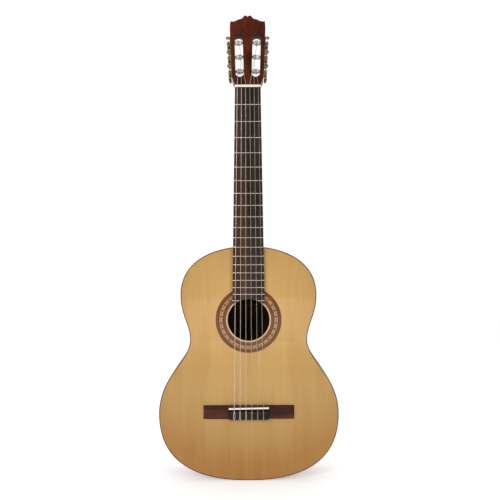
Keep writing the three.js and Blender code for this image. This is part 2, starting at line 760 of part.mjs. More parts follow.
function stringPlaces(spacing) {
  return STRING_R.map((_, i) => (i - (STRING_R.length - 1) / 2) * spacing);
}

// A round string through a list of points, with its sections square to its run.
function stringTube(points, radius) {
  const SIDES = 8;
  const rings = points.map((point, i) => {
    const before = points[Math.max(i - 1, 0)];
    const after = points[Math.min(i + 1, points.length - 1)];
    const along = after.clone().sub(before).normalize();
    const across = new THREE.Vector3(1, 0, 0).addScaledVector(along, -along.x).normalize();
    const up = along.clone().cross(across);
    return Array.from({ length: SIDES }, (_, k) => {
      const angle = (2 * Math.PI * k) / SIDES;
      return point
        .clone()
        .addScaledVector(across, radius * Math.cos(angle))
        .addScaledVector(up, radius * Math.sin(angle));
    });
  });
  return loft(rings);
}

// A string: over the tie block, back through its hole, then over the saddle and the nut to its roller.
function guitarString(i, rollerFront) {
  const radius = STRING_R[i];
  const x = stringPlaces(SADDLE_SPACING)[i];
  const nutX = stringPlaces(NUT_SPACING)[i];
  const blockTop = FRONT - GAP - TIE.thick - radius - GAP;
  const holeY = FRONT - TIE_HOLE_UP;
  const p = (px, y, z) => new THREE.Vector3(px, y, z);
  const saddleY = SADDLE_TOP - radius - GAP;
  const nutY = NUT_TOP + NUT_GROOVE_DEEP - radius - GAP / 2;
  const fall = Math.tan(-NUT_GROOVE_TILT) * NUT.thick;
  const saddleZ = SADDLE.z - x * Math.tan(SADDLE.slant);
  return stringTube(
    [
      p(x, blockTop, TIE.high - 0.5),
      p(x, blockTop, TIE.low + 0.5),
      p(x, blockTop + 0.35, TIE.low - 0.9),
      p(x, (blockTop + holeY) / 2, TIE.low - 1.7),
      p(x, holeY - 0.4, TIE.low - 1.2),
      p(x, holeY, TIE.low + 0.3),
      p(x, holeY, TIE.high + 0.4),
      p(x, saddleY + 1.4, saddleZ - 2.2),
      p(x, saddleY, saddleZ - 0.5),
      p(x, saddleY, saddleZ + 0.8),
      p(nutX, nutY, NUT_FRONT),
      p(nutX, nutY + fall, HEAD_Z),
      rollerFront,
    ],
    radius,
  );
}

// ---------------------------------------------------------------- assembly

const guitar = new THREE.Group();

function place(parent, name, geometry, material) {
  const mesh = new THREE.Mesh(geometry, material);
  mesh.name = name;
  parent.add(mesh);
  return mesh;
}

place(guitar, "soundboard", soundboard(), SPRUCE());
place(guitar, "rosette", rosette(), INLAY());
place(guitar, "soundboard_bracing", soundboardBracing(), INNER_WOOD());
place(guitar, "top_lining", topLining(), INNER_WOOD());
place(guitar, "top_binding", topBinding(), DARK_EDGE());
place(guitar, "side_bass", sidePanel(-1), MAHOGANY());
place(guitar, "side_treble", sidePanel(1), MAHOGANY());
place(guitar, "back_panel", backPanel(), MAHOGANY());
place(guitar, "back_bracing", backBracing(), INNER_WOOD());
place(guitar, "back_lining", backLining(), INNER_WOOD());
place(guitar, "back_binding", backBinding(), DARK_EDGE());
place(guitar, "tail_block", endBlock(35, 0, 18), INNER_WOOD());
place(guitar, "neck_block", endBlock(36, BODY_LENGTH - 48, BODY_LENGTH), INNER_WOOD());
place(guitar, "bridge", bridge(), ROSEWOOD());
place(guitar, "saddle", saddle(), BONE());
place(guitar, "neck", neck(), MAHOGANY());
place(guitar, "heel_cap", heelCap(), ROSEWOOD());
place(guitar, "fingerboard", fingerboard(), EBONY());
place(guitar, "nut", nut(), BONE());

for (let n = 1; n < FRETS; n++) {
  const half = boardHalf(fretZ(n));
  const name = `fret_${String(n).padStart(2, "0")}`;
  place(guitar, name, fretBar(fretZ(n), -half, half), SILVER());
}
const lastZ = fretZ(FRETS);
const lastIn = arcX(lastZ) + 0.8;
const lastOut = boardHalf(lastZ);
place(guitar, "fret_19_bass", fretBar(lastZ, -lastOut, -lastIn), SILVER());
place(guitar, "fret_19_treble", fretBar(lastZ, lastIn, lastOut), SILVER());

const head = headGroup();
guitar.add(head);
place(head, "head_veneer", headVeneer(), ROSEWOOD());

// Which roller of its side each string winds on, counted from the nut, and how far out along it.
const ROLLER_OF = [0, 1, 2, 2, 1, 0];
const WOUND_OUT = [3, -2.5, -1, 1, -4, 0];
const tuners = new Map();
[
  [-1, "bass"],
  [1, "treble"],
].forEach(([sign, name]) => {
  const side = new THREE.Group();
  side.applyMatrix4(sideMatrix(sign));
  head.add(side);
  tuners.set(sign, side);
  place(side, `tuner_plate_${name}`, tunerPlate(sign), GOLD());
});

guitar.updateMatrixWorld(true);
STRING_R.forEach((radius, i) => {
  const number = STRING_R.length - i;
  const sign = i < STRING_R.length / 2 ? -1 : 1;
  const side = tuners.get(sign);
  const along = rollerAlong[ROLLER_OF[i]];
  place(side, `tuner_key_${number}`, tunerKey(sign, along), BLACK_PLASTIC());
  place(side, `string_roller_${number}`, stringRoller(sign, along), BONE());
  const clear = ROLLER.radius + radius + GAP;
  const front = new THREE.Vector3(
    sign * (SLOT_CENTRE_X + WOUND_OUT[i]),
    ROLLER.deep - clear,
    along,
  );
  side.localToWorld(front);
  place(guitar, `string_${number}`, guitarString(i, front), i < 3 ? SILVER() : NYLON());
});

export default guitar;
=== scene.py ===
"""Classical guitar: the finished looks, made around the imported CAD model.

Lengths are written in millimetres and leave through MM. Lights and textures are in metres. Z is up the
guitar, the soundboard faces -Y and +X is the treble side. The head has a frame of its own, and so has each
row of tuning machines.
"""

import math

import bmesh
import bpy
from mathutils import Matrix, Vector, kdtree


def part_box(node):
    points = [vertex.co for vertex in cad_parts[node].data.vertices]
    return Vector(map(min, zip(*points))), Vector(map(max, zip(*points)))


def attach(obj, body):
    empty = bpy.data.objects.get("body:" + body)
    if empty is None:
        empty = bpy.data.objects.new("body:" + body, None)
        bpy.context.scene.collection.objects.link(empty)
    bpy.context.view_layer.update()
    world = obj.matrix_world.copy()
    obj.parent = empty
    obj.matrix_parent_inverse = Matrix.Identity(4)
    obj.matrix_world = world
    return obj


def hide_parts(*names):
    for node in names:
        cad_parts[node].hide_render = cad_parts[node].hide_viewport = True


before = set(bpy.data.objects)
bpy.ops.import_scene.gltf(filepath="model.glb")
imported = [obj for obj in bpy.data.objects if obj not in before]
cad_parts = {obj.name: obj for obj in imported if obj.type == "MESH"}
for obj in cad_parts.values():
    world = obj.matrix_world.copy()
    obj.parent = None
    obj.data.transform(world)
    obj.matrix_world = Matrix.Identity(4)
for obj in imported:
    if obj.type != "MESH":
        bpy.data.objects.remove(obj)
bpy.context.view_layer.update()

MM = 0.001
ROWS = ((-1, "bass"), (1, "treble"))  # the two sides: which way X runs, and the name


def edge(node, corner, axis):
    """One coordinate of a CAD node's box, in millimetres: corner 0 is the low one, 1 the high one."""
    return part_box(node)[corner][axis] / MM


# ---------------------------------------------------------------- dimensions, as in the CAD model

FRONT = edge("soundboard", 0, 1)
BACK = edge("back_binding", 1, 1)
BODY_LENGTH = edge("top_binding", 1, 2)
SCALE = 650
NUT_Z = BODY_LENGTH + SCALE / 2  # the scale starts here
NUT_FRONT = edge("nut", 0, 2)
HEEL_DEPTH_LOSS = 4  # the body is this much shallower at the heel than at the tail

LOWER_BOUT = (182.8, 135.4)
WAIST = (119, 285.7)
UPPER_BOUT = (138.3, 376.8)
NECK_SEAT = 31
OUTLINE_CURVES = (
    ((0, 0), (139, 0), (LOWER_BOUT[0], 59.9), LOWER_BOUT),
    (LOWER_BOUT, (LOWER_BOUT[0], 211.9), (WAIST[0], 245.8), WAIST),
    (WAIST, (WAIST[0], 316.7), (UPPER_BOUT[0], 336.1), UPPER_BOUT),
    (UPPER_BOUT, (UPPER_BOUT[0], 453.6), (61.3, 470.4), (NECK_SEAT, BODY_LENGTH)),
)

TOP_THICK = 2.5
BACK_THICK = 2.7
SIDE_THICK = 2.2
BINDING_WIDE = 2
BINDING_DEEP = 5
BINDING_ROUND = 0.9
STRIP_HALF = 3.2
HOLE_Z = 326.5
HOLE_R = 42.7
ROSETTE_R = 66.9

BOARD_TOP = edge("fingerboard", 0, 1)
BOARD_END_Z = edge("fingerboard", 0, 2)
BOARD_ARC_R = 43.5
NUT_HALF = 26
BODY_HALF = 31
FRETS = 19
FRET_HALF = 1.0
FRET_HIGH = 1.1

BRIDGE_HALF = edge("bridge", 1, 0)
BRIDGE_LOW = 125.9
BRIDGE_HIGH = edge("bridge", 1, 2)
BRIDGE_TOP = edge("bridge", 0, 1)
TIE_HALF = 41.5
TIE_BLOCK_HALF = 40
TIE_LOW, TIE_HIGH = 125.2, 142
TIE_HOLE_Y = FRONT - 4.6
TIE_CAP = 0.9
WING_ROOT, WING_TIP = 4.3, 2.1  # how thick the bridge's wings are
SADDLE_Z = 148.4
SADDLE_SLANT = -0.018
SADDLE_HALF = 40.5
SADDLE_THICK = 3
SADDLE_TOP = edge("saddle", 0, 1)
SADDLE_PLACE = Matrix.Translation((0, 0, SADDLE_Z)) @ Matrix.Rotation(SADDLE_SLANT, 4, "Y")
RIDGE_TOP = FRONT - 6.5

STRING_R = (0.545, 0.445, 0.37, 0.51, 0.41, 0.355)  # string 6, the lowest, to string 1
NUT_SPACING = 8.5
SADDLE_SPACING = 11.8
NUT_TOP = edge("nut", 0, 1)
NUT_THICK = 5.2
NUT_GROOVE = 0.9
NUT_FALL = math.tan(math.radians(8))

HEAD_TILT = math.radians(17)
HEAD_THICK = 20
VENEER = 2
HEAD_LOW = (31.7, 18)
HEAD_HIGH = (37.2, 130)
SLOT_LOW, SLOT_HIGH, SLOT_WIDE = 19.8, 123.6, 17
SLOT_LOW_X, SLOT_HIGH_X = 16.3, 19
ROLLER_UP = (37.2, 71.3, 105.4)
ROLLER_DEEP = 10
ROLLER_R = 5
SLOT_CENTRE = -16.6
WOUND_OUT = (3, -2.5, -1, 1, -4, 0)  # how far from a roller's middle each string meets it, from string 6
WINDING_TURNS = 3.4
ROLLER_OF = (0, 1, 2, 2, 1, 0)  # which roller each string goes to, counted from the nut, from string 6
PLATE_LOW, PLATE_HIGH, PLATE_FRONT, PLATE_BACK = 21.8, 123, 3.2, 17.2
PLATE_MIDDLE = (PLATE_FRONT + PLATE_BACK) / 2
PLATE_IN, PLATE_OUT = 0.05, 1.5
PLATE_SCREWS_UP = (23.8, 46.2, 56.2, 81, 91, 115.5)
WORM_X = 4.4
WORM_OFFSET = -7.4
WORM_LONG = 7.2
BUTTON_LOW, BUTTON_HIGH, BUTTON_WIDE, BUTTON_THICK, BUTTON_TURN = 20, 35, 7.2, 3.2, 0.17
SCROLL_UP = (50.4, 84.5, 118.6)
SCROLL_REACH = 10

CAMERA_AWAY = 1200
FLOOR_R = 3200

HEAD = Matrix.Translation((0, FRONT - 3, NUT_FRONT + NUT_THICK)) @ Matrix.Rotation(-HEAD_TILT, 4, "X")
SIDE_ANGLE = math.atan2(HEAD_HIGH[0] - HEAD_LOW[0], HEAD_HIGH[1] - HEAD_LOW[1])
SIDE_X = HEAD_LOW[0] + (ROLLER_UP[1] - HEAD_LOW[1]) * math.tan(SIDE_ANGLE)


def side_frame(sign):
    """The frame of one row of tuning machines: X out of the head's side, Y through it, Z up the side."""
    place = Matrix.Translation((sign * SIDE_X, 0, ROLLER_UP[1]))
    turn = Matrix.Rotation(sign * SIDE_ANGLE, 4, "Y")
    return HEAD @ place @ turn @ Matrix.Diagonal((sign, 1, 1, 1))


def along_side(up):
    return (up - ROLLER_UP[1]) / math.cos(SIDE_ANGLE)


# ---------------------------------------------------------------- shader nodes

WHITE_STOP, BLACK_STOP = (1, 1, 1, 1), (0, 0, 0, 1)


def feed(tree, socket, value):
    """Links an output to a socket, or sets the socket's own value."""
    if isinstance(value, bpy.types.NodeSocket):
        tree.links.new(value, socket)
    else:
        socket.default_value = value


def add_node(tree, kind, inputs=None, **settings):
    made = tree.nodes.new(kind)
    for name, value in settings.items():
        setattr(made, name, value)
    for name, value in (inputs or {}).items():
        feed(tree, made.inputs[name], value)
    return made


def new_material(name, **constants):
    """A Principled material and its tree. The constants are set on the shader's own sockets."""
    material = bpy.data.materials.new(name)
    material.use_nodes = True
    shader = material.node_tree.nodes["Principled BSDF"]
    for socket, value in constants.items():
        shader.inputs[socket.replace("_", " ")].default_value = value
    return material, material.node_tree, shader


def to_linear(value):
    return value / 12.92 if value <= 0.04045 else ((value + 0.055) / 1.055) ** 2.4


def rgb(red, green, blue):
    """A colour given as 0 to 255 display values, for the shader."""
    return (*(to_linear(v / 255) for v in (red, green, blue)), 1)


def math_node(tree, operation, *values):
    return add_node(tree, "ShaderNodeMath", dict(enumerate(values)), operation=operation).outputs[0]


def plus(tree, first, second):
    return math_node(tree, "ADD", first, second)


def times(tree, first, second):
    return math_node(tree, "MULTIPLY", first, second)


def mix_colour(tree, factor, first, second, blend="MIX"):
    inputs = {0: factor, 6: first, 7: second}
    return add_node(tree, "ShaderNodeMix", inputs, data_type="RGBA", blend_type=blend).outputs[2]


def ramp(tree, factor, *stops):
    made = add_node(tree, "ShaderNodeValToRGB", {"Fac": factor})
    elements = made.color_ramp.elements
    while len(elements) < len(stops):
        elements.new(0.5)
    for element, (position, colour) in zip(elements, stops):
        element.position = position
        element.color = colour
    return made.outputs["Color"]


def map_range(tree, value, low, high, to_low=0.0, to_high=1.0):
    inputs = {"Value": value, "From Min": low, "From Max": high, "To Min": to_low, "To Max": to_high}
    return add_node(tree, "ShaderNodeMapRange", inputs).outputs[0]


def coordinates(tree, source="Object"):
    return add_node(tree, "ShaderNodeTexCoord").outputs[source]


def separate(tree, vector):
    return add_node(tree, "ShaderNodeSeparateXYZ", {0: vector}).outputs


def place_coords(tree, stretch=(1, 1, 1), mirror=False, turn=0.0, source="Object"):
    """Coordinates stretched along each axis, mirrored about the middle for a book-matched plate."""
    coords = coordinates(tree, source)
    if mirror:
        x, y, z = separate(tree, coords)
        mirrored = {0: math_node(tree, "ABSOLUTE", x), 1: y, 2: z}
        coords = add_node(tree, "ShaderNodeCombineXYZ", mirrored).outputs[0]
    inputs = {"Vector": coords, "Scale": stretch, "Rotation": (0, turn, 0)}
    return add_node(tree, "ShaderNodeMapping", inputs).outputs[0]


def noise(tree, vector, scale=1.0, detail=6.0, distortion=0.0):
    inputs = {"Vector": vector, "Scale": scale, "Detail": detail, "Roughness": 0.6, "Distortion": distortion}
    return add_node(tree, "ShaderNodeTexNoise", inputs).outputs["Fac"]


def bump(tree, shader, height, strength, distance=0.0003):
    inputs = {"Height": height, "Strength": strength, "Distance": distance}
    tree.links.new(add_node(tree, "ShaderNodeBump", inputs).outputs[0], shader.inputs["Normal"])


def wood(name, tones, grain=(260, 260, 7), pores=0.35, mirror=False, turn=0.0, source="Object", **constants):
    """Hardwood: streaks in three tones, light, dark and line, and short pores that also dent the surface."""
    material, tree, shader = new_material(name, **constants)
    light, dark, line = (rgb(*tone) for tone in tones)

    def grained(scale, **settings):
        return noise(tree, place_coords(tree, [g * scale for g in grain], mirror, turn, source), **settings)

    streaks = times(tree, grained(1, detail=8, distortion=0.5), 0.6)
    clouds = times(tree, grained(0.12, detail=3), 0.4)
    colour = ramp(tree, plus(tree, streaks, clouds), (0.33, line), (0.43, dark), (0.56, light), (0.7, dark))
    fine = grained(5, detail=4)
    pore = ramp(tree, fine, (0.36, WHITE_STOP), (0.44, BLACK_STOP))
    tree.links.new(mix_colour(tree, times(tree, pore, pores), colour, line), shader.inputs["Base Color"])
    rough = math_node(tree, "MULTIPLY_ADD", fine, 0.12, shader.inputs["Roughness"].default_value - 0.06)
    tree.links.new(rough, shader.inputs["Roughness"])
    bump(tree, shader, fine, 0.12)
    return material


def fingerboard_wood(name):
    """Rosewood from the edge of the heartwood: red-brown on the bass side, greyer on the treble side."""
    material = wood(name, ((92, 68, 58), (64, 48, 42), (28, 21, 19)), (150, 150, 5), 0.6, **OILED)
    tree = material.node_tree
    colour = tree.nodes["Principled BSDF"].inputs["Base Color"]
    plain = colour.links[0].from_socket
    x, _, z = separate(tree, coordinates(tree))
    slanted = plus(tree, x, math_node(tree, "MULTIPLY_ADD", z, 0.021, -0.0125))
    wander = times(tree, noise(tree, place_coords(tree, (90, 90, 3)), detail=4), 0.003)
    side = map_range(tree, plus(tree, slanted, wander), -0.001, 0.002)
    height = map_range(tree, z, 0.36, 0.8)
    red = ramp(tree, height, (0.0, rgb(255, 214, 186)), (0.5, rgb(200, 178, 166)), (1.0, rgb(190, 178, 172)))
    grey = ramp(tree, height, (0.0, rgb(162, 168, 170)), (1.0, rgb(128, 136, 142)))
    tint = mix_colour(tree, side, red, grey)
    tree.links.new(mix_colour(tree, 1.0, plain, tint, "MULTIPLY"), colour)
    return material


# Painted shade on the top, darker away from the soundhole: the distance, as a share, and the tint.
TOP_PAINTED_SHADE = (
    (0.24, (0.86, 0.86, 0.85, 1)),
    (0.36, (0.81, 0.8, 0.76, 1)),
    (0.52, (0.73, 0.71, 0.6, 1)),
    (0.77, (0.63, 0.59, 0.44, 1)),
    (0.95, (0.55, 0.42, 0.22, 1)),
)


def spruce(name):
    """Book-matched spruce: fine straight rings, a little silk across them, honey-coloured lacquer, and
    painted shade that darkens it away from the soundhole.
    """
    material, tree, shader = new_material(
        name, Roughness=0.36, Coat_Weight=0.35, Coat_Roughness=0.07, Specular_IOR_Level=0.3
    )

    def grained(stretch, detail):
        return noise(tree, place_coords(tree, stretch, True), detail=detail)

    coords = coordinates(tree)
    across = math_node(tree, "ABSOLUTE", separate(tree, coords)[0])
    bend = times(tree, math_node(tree, "SUBTRACT", grained((18, 18, 2.2), 3), 0.5), 0.010)
    spread = math_node(tree, "POWER", times(tree, plus(tree, across, bend), 5.4), 0.82)
    saw = math_node(tree, "FRACT", times(tree, spread, 128.0))
    rising = (0.0, BLACK_STOP), (0.62, (0.25, 0.25, 0.25, 1)), (0.93, WHITE_STOP)
    late = ramp(tree, saw, *rising, (1, BLACK_STOP))
    broad = grained((40, 40, 3), 4)
    base = ramp(tree, broad, (0.3, rgb(205, 158, 91)), (0.5, rgb(214, 170, 103)), (0.72, rgb(221, 180, 116)))
    ringed = mix_colour(tree, times(tree, late, 0.34), base, rgb(170, 112, 56))
    silk = times(tree, grained((60, 60, 420), 2), 0.10)
    silky = mix_colour(tree, silk, ringed, rgb(236, 200, 142))
    # painted shade: the colour darkens with distance from the soundhole's middle
    middle = add_node(tree, "ShaderNodeCombineXYZ", {2: HOLE_Z * MM}).outputs[0]
    away = add_node(tree, "ShaderNodeVectorMath", {0: coords, 1: middle}, operation="DISTANCE")
    painted_shade = ramp(tree, times(tree, away.outputs["Value"], 3.2), *TOP_PAINTED_SHADE)
    tree.links.new(mix_colour(tree, 1.0, silky, painted_shade, "MULTIPLY"), shader.inputs["Base Color"])
    bump(tree, shader, late, 0.05, 0.0001)
    return material


def metal(name, colour, worn, rough):
    """Metal with a faint cast surface: colour and roughness drift between a clean and a worn state."""
    material, tree, shader = new_material(name, Metallic=1.0)
    drift = noise(tree, place_coords(tree), scale=220.0, detail=5)
    tree.links.new(ramp(tree, drift, (0.35, rgb(*worn)), (0.6, rgb(*colour))), shader.inputs["Base Color"])
    roughness = map_range(tree, drift, 0.0, 1.0, rough + 0.14, max(rough - 0.06, 0.03))
    tree.links.new(roughness, shader.inputs["Roughness"])
    bump(tree, shader, drift, 0.05, 0.0002)
    return material


def wound_metal(name, colour, between, pitch):
    """Silver-plated winding on a bass string: fine turns a pitch apart along the string, with painted shade
    in the grooves between the turns.
    """
    material, tree, shader = new_material(name, Metallic=0.5, Roughness=0.34)
    height = separate(tree, coordinates(tree))[2]
    turns = math_node(tree, "SINE", times(tree, height, 2 * math.pi / (pitch * MM)))
    # painted shade: the colour falls to the darker between colour in the grooves
    lit = map_range(tree, turns, -1.0, 1.0)
    tree.links.new(ramp(tree, lit, (0.0, rgb(*between)), (0.7, rgb(*colour))), shader.inputs["Base Color"])
    bump(tree, shader, lit, 0.35, 0.00008)
    return material


def plastic(name, colour, other, **constants):
    """Moulded plastic, bone or nylon: a soft drift of colour and a slightly uneven skin."""
    material, tree, shader = new_material(name, **constants)
    drift = noise(tree, place_coords(tree), scale=90.0, detail=4)
    tree.links.new(ramp(tree, drift, (0.35, rgb(*other)), (0.65, rgb(*colour))), shader.inputs["Base Color"])
    bump(tree, shader, drift, 0.04, 0.0003)
    return material


# ---------------------------------------------------------------- materials

LACQUER = {"Coat_Weight": 0.35, "Coat_Roughness": 0.06, "Roughness": 0.4, "Specular_IOR_Level": 0.3}
OILED = {"Roughness": 0.42, "Specular_IOR_Level": 0.17}
MAHOGANY = ((128, 62, 34), (92, 40, 22), (52, 22, 13))
NECK_TONES = ((134, 74, 42), (104, 54, 30), (66, 32, 18))
VENEER_TONES = ((94, 33, 10), (52, 15, 5), (17, 6, 3))
BARE_PAINTED_SHADE_TONES = ((58, 38, 26), (44, 28, 19), (28, 18, 13))
KERFED_TONES = ((200, 160, 104), (160, 120, 74), (96, 66, 38))
MAPLE_TONES = ((208, 180, 144), (198, 170, 134), (172, 142, 108))

SPRUCE = spruce("spruce_top")
SIDES = wood("mahogany_sides", MAHOGANY, (7, 260, 260), source="UV", **LACQUER)
BACKS = wood("mahogany_back", MAHOGANY, mirror=True, **LACQUER)
STRIP = wood("back_centre_strip", ((176, 122, 74), (140, 88, 50), (80, 44, 24)), (500, 500, 60), **LACQUER)
NECK = wood("mahogany_neck", NECK_TONES, pores=0.5, Roughness=0.38, Specular_IOR_Level=0.3)
VENEER_WOOD = wood("rosewood_veneer", VENEER_TONES, (52, 52, 4), 0.3, turn=0.05, Coat_Weight=0.1, **OILED)
# painted shade: the walls inside the head's slots are made dark for the shade there
SLOT_WALL_SHADE = wood("slot_walls_painted_shade", ((52, 27, 18), (38, 20, 13), (20, 11, 8)), **OILED)
BOARD = fingerboard_wood("rosewood_fingerboard")
BRIDGE_WOOD = wood("rosewood_bridge", ((94, 43, 26), (48, 21, 15), (20, 9, 7)), (4, 85, 85), 0.5, **OILED)
TIE_WOOD = wood("ebony_tie_block", ((34, 27, 23), (22, 18, 16), (8, 7, 7)), (9, 300, 300), **OILED)
EDGING = wood("rosewood_binding", ((98, 68, 46), (70, 46, 31), (36, 23, 17)), (60, 60, 60), **LACQUER)
# painted shade: the wood inside the body is made nearly black for the shade seen through the soundhole
INSIDE_PAINTED_SHADE = wood("bare_wood_inside_painted_shade", BARE_PAINTED_SHADE_TONES, Roughness=0.8, Specular_IOR_Level=0.1)
KERFED = wood("kerfed_lining", KERFED_TONES, (330, 40, 330), Roughness=0.8)
BONE = plastic("bone", (252, 244, 237), (243, 235, 226), Roughness=0.34)
FRET_METAL = metal("nickel_silver", (212, 210, 204), (176, 172, 164), 0.22)
BRASS = metal("aged_brass", (182, 166, 128), (112, 100, 72), 0.3)
STEEL = metal("steel", (190, 190, 190), (130, 130, 132), 0.25)
DARK_STEEL = metal("blackened_steel", (66, 63, 60), (36, 34, 33), 0.3)
BLACK = plastic("black_buttons", (26, 22, 20), (16, 14, 13), Roughness=0.16)
IVORY = plastic("ivory_rollers", (220, 214, 204), (202, 197, 186), Roughness=0.3)
CLEAR = {"Roughness": 0.3, "Transmission_Weight": 0.6, "IOR": 1.05}
NYLON = plastic("clear_nylon", (216, 205, 182), (204, 193, 170), **CLEAR)
BASS_WOUND = wound_metal("wound_bass", (240, 226, 210), (140, 124, 106), 0.32)
CREAM = wood("maple_ring", MAPLE_TONES, (300, 300, 300), 0.1, **LACQUER)
INLAY_COLOURS = {
    "o": (118, 72, 20),  # olive ring
    "b": (112, 66, 10),  # brown ring
    "d": (98, 54, 22),  # reddish line
    "e": (88, 60, 24),  # outer edge
    "k": (74, 40, 28),  # the mosaic's dark centre
    "r": (136, 84, 50),
    "p": (176, 128, 86),
    "c": (204, 162, 116),
}


def inlay_wood(key, colour):
    tones = [[c * share for c in colour] for share in (1, 0.92, 0.8)]
    return wood(f"inlay_{key}", tones, (420, 420, 420), 0.15, **LACQUER)


INLAYS = {key: inlay_wood(key, colour) for key, colour in INLAY_COLOURS.items()}

# ---------------------------------------------------------------- meshes

SHARP = 38  # edges sharper than this many degrees stay crisp


def finish_piece(mesh, name, materials, slot, body="guitar", replaces=(), sharp=SHARP):
    """Puts a finished mesh, given in millimetres, into the scene as a piece that rides on a body."""
    mesh.transform(Matrix.Scale(MM, 4))
    mesh.name = name
    mesh.materials.clear()
    for material in materials if isinstance(materials, (list, tuple)) else [materials]:
        mesh.materials.append(material)
    mesh.shade_smooth()
    mesh.set_sharp_from_angle(angle=math.radians(sharp))
    piece = bpy.data.objects.new(name, mesh)
    bpy.context.scene.collection.objects.link(piece)
    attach(piece, body)
    if replaces:
        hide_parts(*replaces)


def tidy(mesh, place=None):
    """Merges doubled points, turns every face outwards and puts the mesh in its place."""
    work = bmesh.new()
    work.from_mesh(mesh)
    bmesh.ops.remove_doubles(work, verts=work.verts, dist=1e-4)
    bmesh.ops.dissolve_degenerate(work, edges=work.edges, dist=1e-5)
    if place is not None:
        work.transform(place)
    work.normal_update()  # a mirrored place has turned the faces, and the next line starts from their normals
    bmesh.ops.recalc_face_normals(work, faces=work.faces)
    work.to_mesh(mesh)
    work.free()
    return mesh


def from_faces(verts, faces, place=None):
    mesh = bpy.data.meshes.new("part")
    mesh.from_pydata([tuple(v) for v in verts], [], faces)
    return tidy(mesh, place)


DRAWN_XZ = Matrix(((1, 0, 0, 0), (0, 0, 1, 0), (0, 1, 0, 0), (0, 0, 0, 1)))  # drawn in X and Z, thick along Y
DRAWN_YZ = Matrix(((0, 0, 1, 0), (1, 0, 0, 0), (0, 1, 0, 0), (0, 0, 0, 1)))  # drawn in Y and Z, thick along X


def plate(loops, low, high, bevel, place=None, drawn=DRAWN_XZ):
    """A flat piece with rounded edges: an outline, then its holes, given thickness from low to high."""
    curve = bpy.data.curves.new("plate", "CURVE")
    curve.dimensions = "2D"
    curve.fill_mode = "BOTH"
    curve.extrude = (high - low) / 2 - bevel
    curve.bevel_depth = bevel
    curve.bevel_resolution = 2
    curve.offset = -bevel
    for loop in loops:
        spline = curve.splines.new("POLY")
        spline.points.add(len(loop) - 1)
        for point, (u, v) in zip(spline.points, loop):
            point.co = (u, v, 0, 1)
        spline.use_cyclic_u = True
    holder = bpy.data.objects.new("plate", curve)
    bpy.context.scene.collection.objects.link(holder)
    seen = holder.evaluated_get(bpy.context.evaluated_depsgraph_get())
    mesh = bpy.data.meshes.new_from_object(seen)
    bpy.data.objects.remove(holder)
    bpy.data.curves.remove(curve)
    middle = Matrix.Translation((0, 0, (low + high) / 2))
    return tidy(mesh, (place or Matrix()) @ drawn @ middle)


def loft(rings, place=None, closed=False):
    """A surface through rings of points: capped at both ends, or closed on itself."""
    around = len(rings[0])
    verts = [point for ring in rings for point in ring]
    faces = []
    for i in range(len(rings) if closed else len(rings) - 1):
        k = (i + 1) % len(rings)
        for j in range(around):
            n = (j + 1) % around
            faces.append((i * around + j, i * around + n, k * around + n, k * around + j))
    if not closed:
        faces.append(tuple(range(around)))
        faces.append(tuple((len(rings) - 1) * around + j for j in range(around)))
    return from_faces(verts, faces, place)


def turn_angles(steps):
    """Angles evenly round a full turn."""
    return [2 * math.pi * k / steps for k in range(steps)]


def lathe(profile, place=None, around=28):
    """A turned piece about X: the profile gives (x, radius) from one end to the other."""
    rings = [[(x, r * math.cos(a), r * math.sin(a)) for a in turn_angles(around)] for x, r in profile]
    return loft(rings, place)


def tube(path, radius, around=12, place=None):
    """A round bar along a path. The radius may be one number or one for each point."""
    radii = radius if isinstance(radius, (list, tuple)) else [radius] * len(path)
    path = [Vector(p) for p in path]
    rings = []
    across = None
    for i, (point, r) in enumerate(zip(path, radii)):
        along = (path[min(i + 1, len(path) - 1)] - path[max(i - 1, 0)]).normalized()
        if across is None:
            across = along.orthogonal().normalized()
        across = (across - along * across.dot(along)).normalized()
        up = along.cross(across)
        rings.append([point + (across * math.cos(a) + up * math.sin(a)) * r for a in turn_angles(around)])
    return loft(rings, place)


def joined(*meshes):
    """Several meshes as one, left as separate shells."""
    work = bmesh.new()
    for mesh in meshes:
        work.from_mesh(mesh)
    out = bpy.data.meshes.new("joined")
    work.to_mesh(out)
    work.free()
    return out


def boolean(mesh, operation, *tools):
    """Unites or cuts meshes: operation is UNION or DIFFERENCE."""
    holder = bpy.data.objects.new("target", mesh)
    bpy.context.scene.collection.objects.link(holder)
    cutters = []
    for tool in tools:
        cutter = bpy.data.objects.new("tool", tool)
        bpy.context.scene.collection.objects.link(cutter)
        cutters.append(cutter)
        modifier = holder.modifiers.new("cut", "BOOLEAN")
        modifier.operation = operation
        modifier.solver = "MANIFOLD"
        modifier.object = cutter
    seen = holder.evaluated_get(bpy.context.evaluated_depsgraph_get())
    result = bpy.data.meshes.new_from_object(seen)
    for thing in (holder, *cutters):
        bpy.data.objects.remove(thing)
    return tidy(result)


def block(low, high, bevel=0.0, place=None):
    """A box with softened edges."""
    work = bmesh.new()
    bmesh.ops.create_cube(work, size=1)
    for vert in work.verts:
        vert.co = [l + (h - l) * (c + 0.5) for l, h, c in zip(low, high, vert.co)]
    if bevel:
        settings = {"segments": 3, "profile": 0.5, "affect": "EDGES", "clamp_overlap": True}
        bmesh.ops.bevel(work, geom=work.edges, offset=bevel, **settings)
    mesh = bpy.data.meshes.new("block")
    work.to_mesh(mesh)
    work.free()
    return tidy(mesh, place)


def circle_loop(radius, centre, steps=48, start=0.0, end=2 * math.pi):
    """Points round a circle or an arc. A full circle leaves its last point out."""
    full = end - start >= 2 * math.pi
    count = steps if full else steps + 1
    angles = (start + (end - start) * k / steps for k in range(count))
    return [(centre[0] + radius * math.cos(a), centre[1] + radius * math.sin(a)) for a in angles]


def mix(a, b, t):
    return a + (b - a) * t


def smooth_step(value, low, high):
    t = min(max((value - low) / (high - low), 0), 1)
    return t * t * (3 - 2 * t)


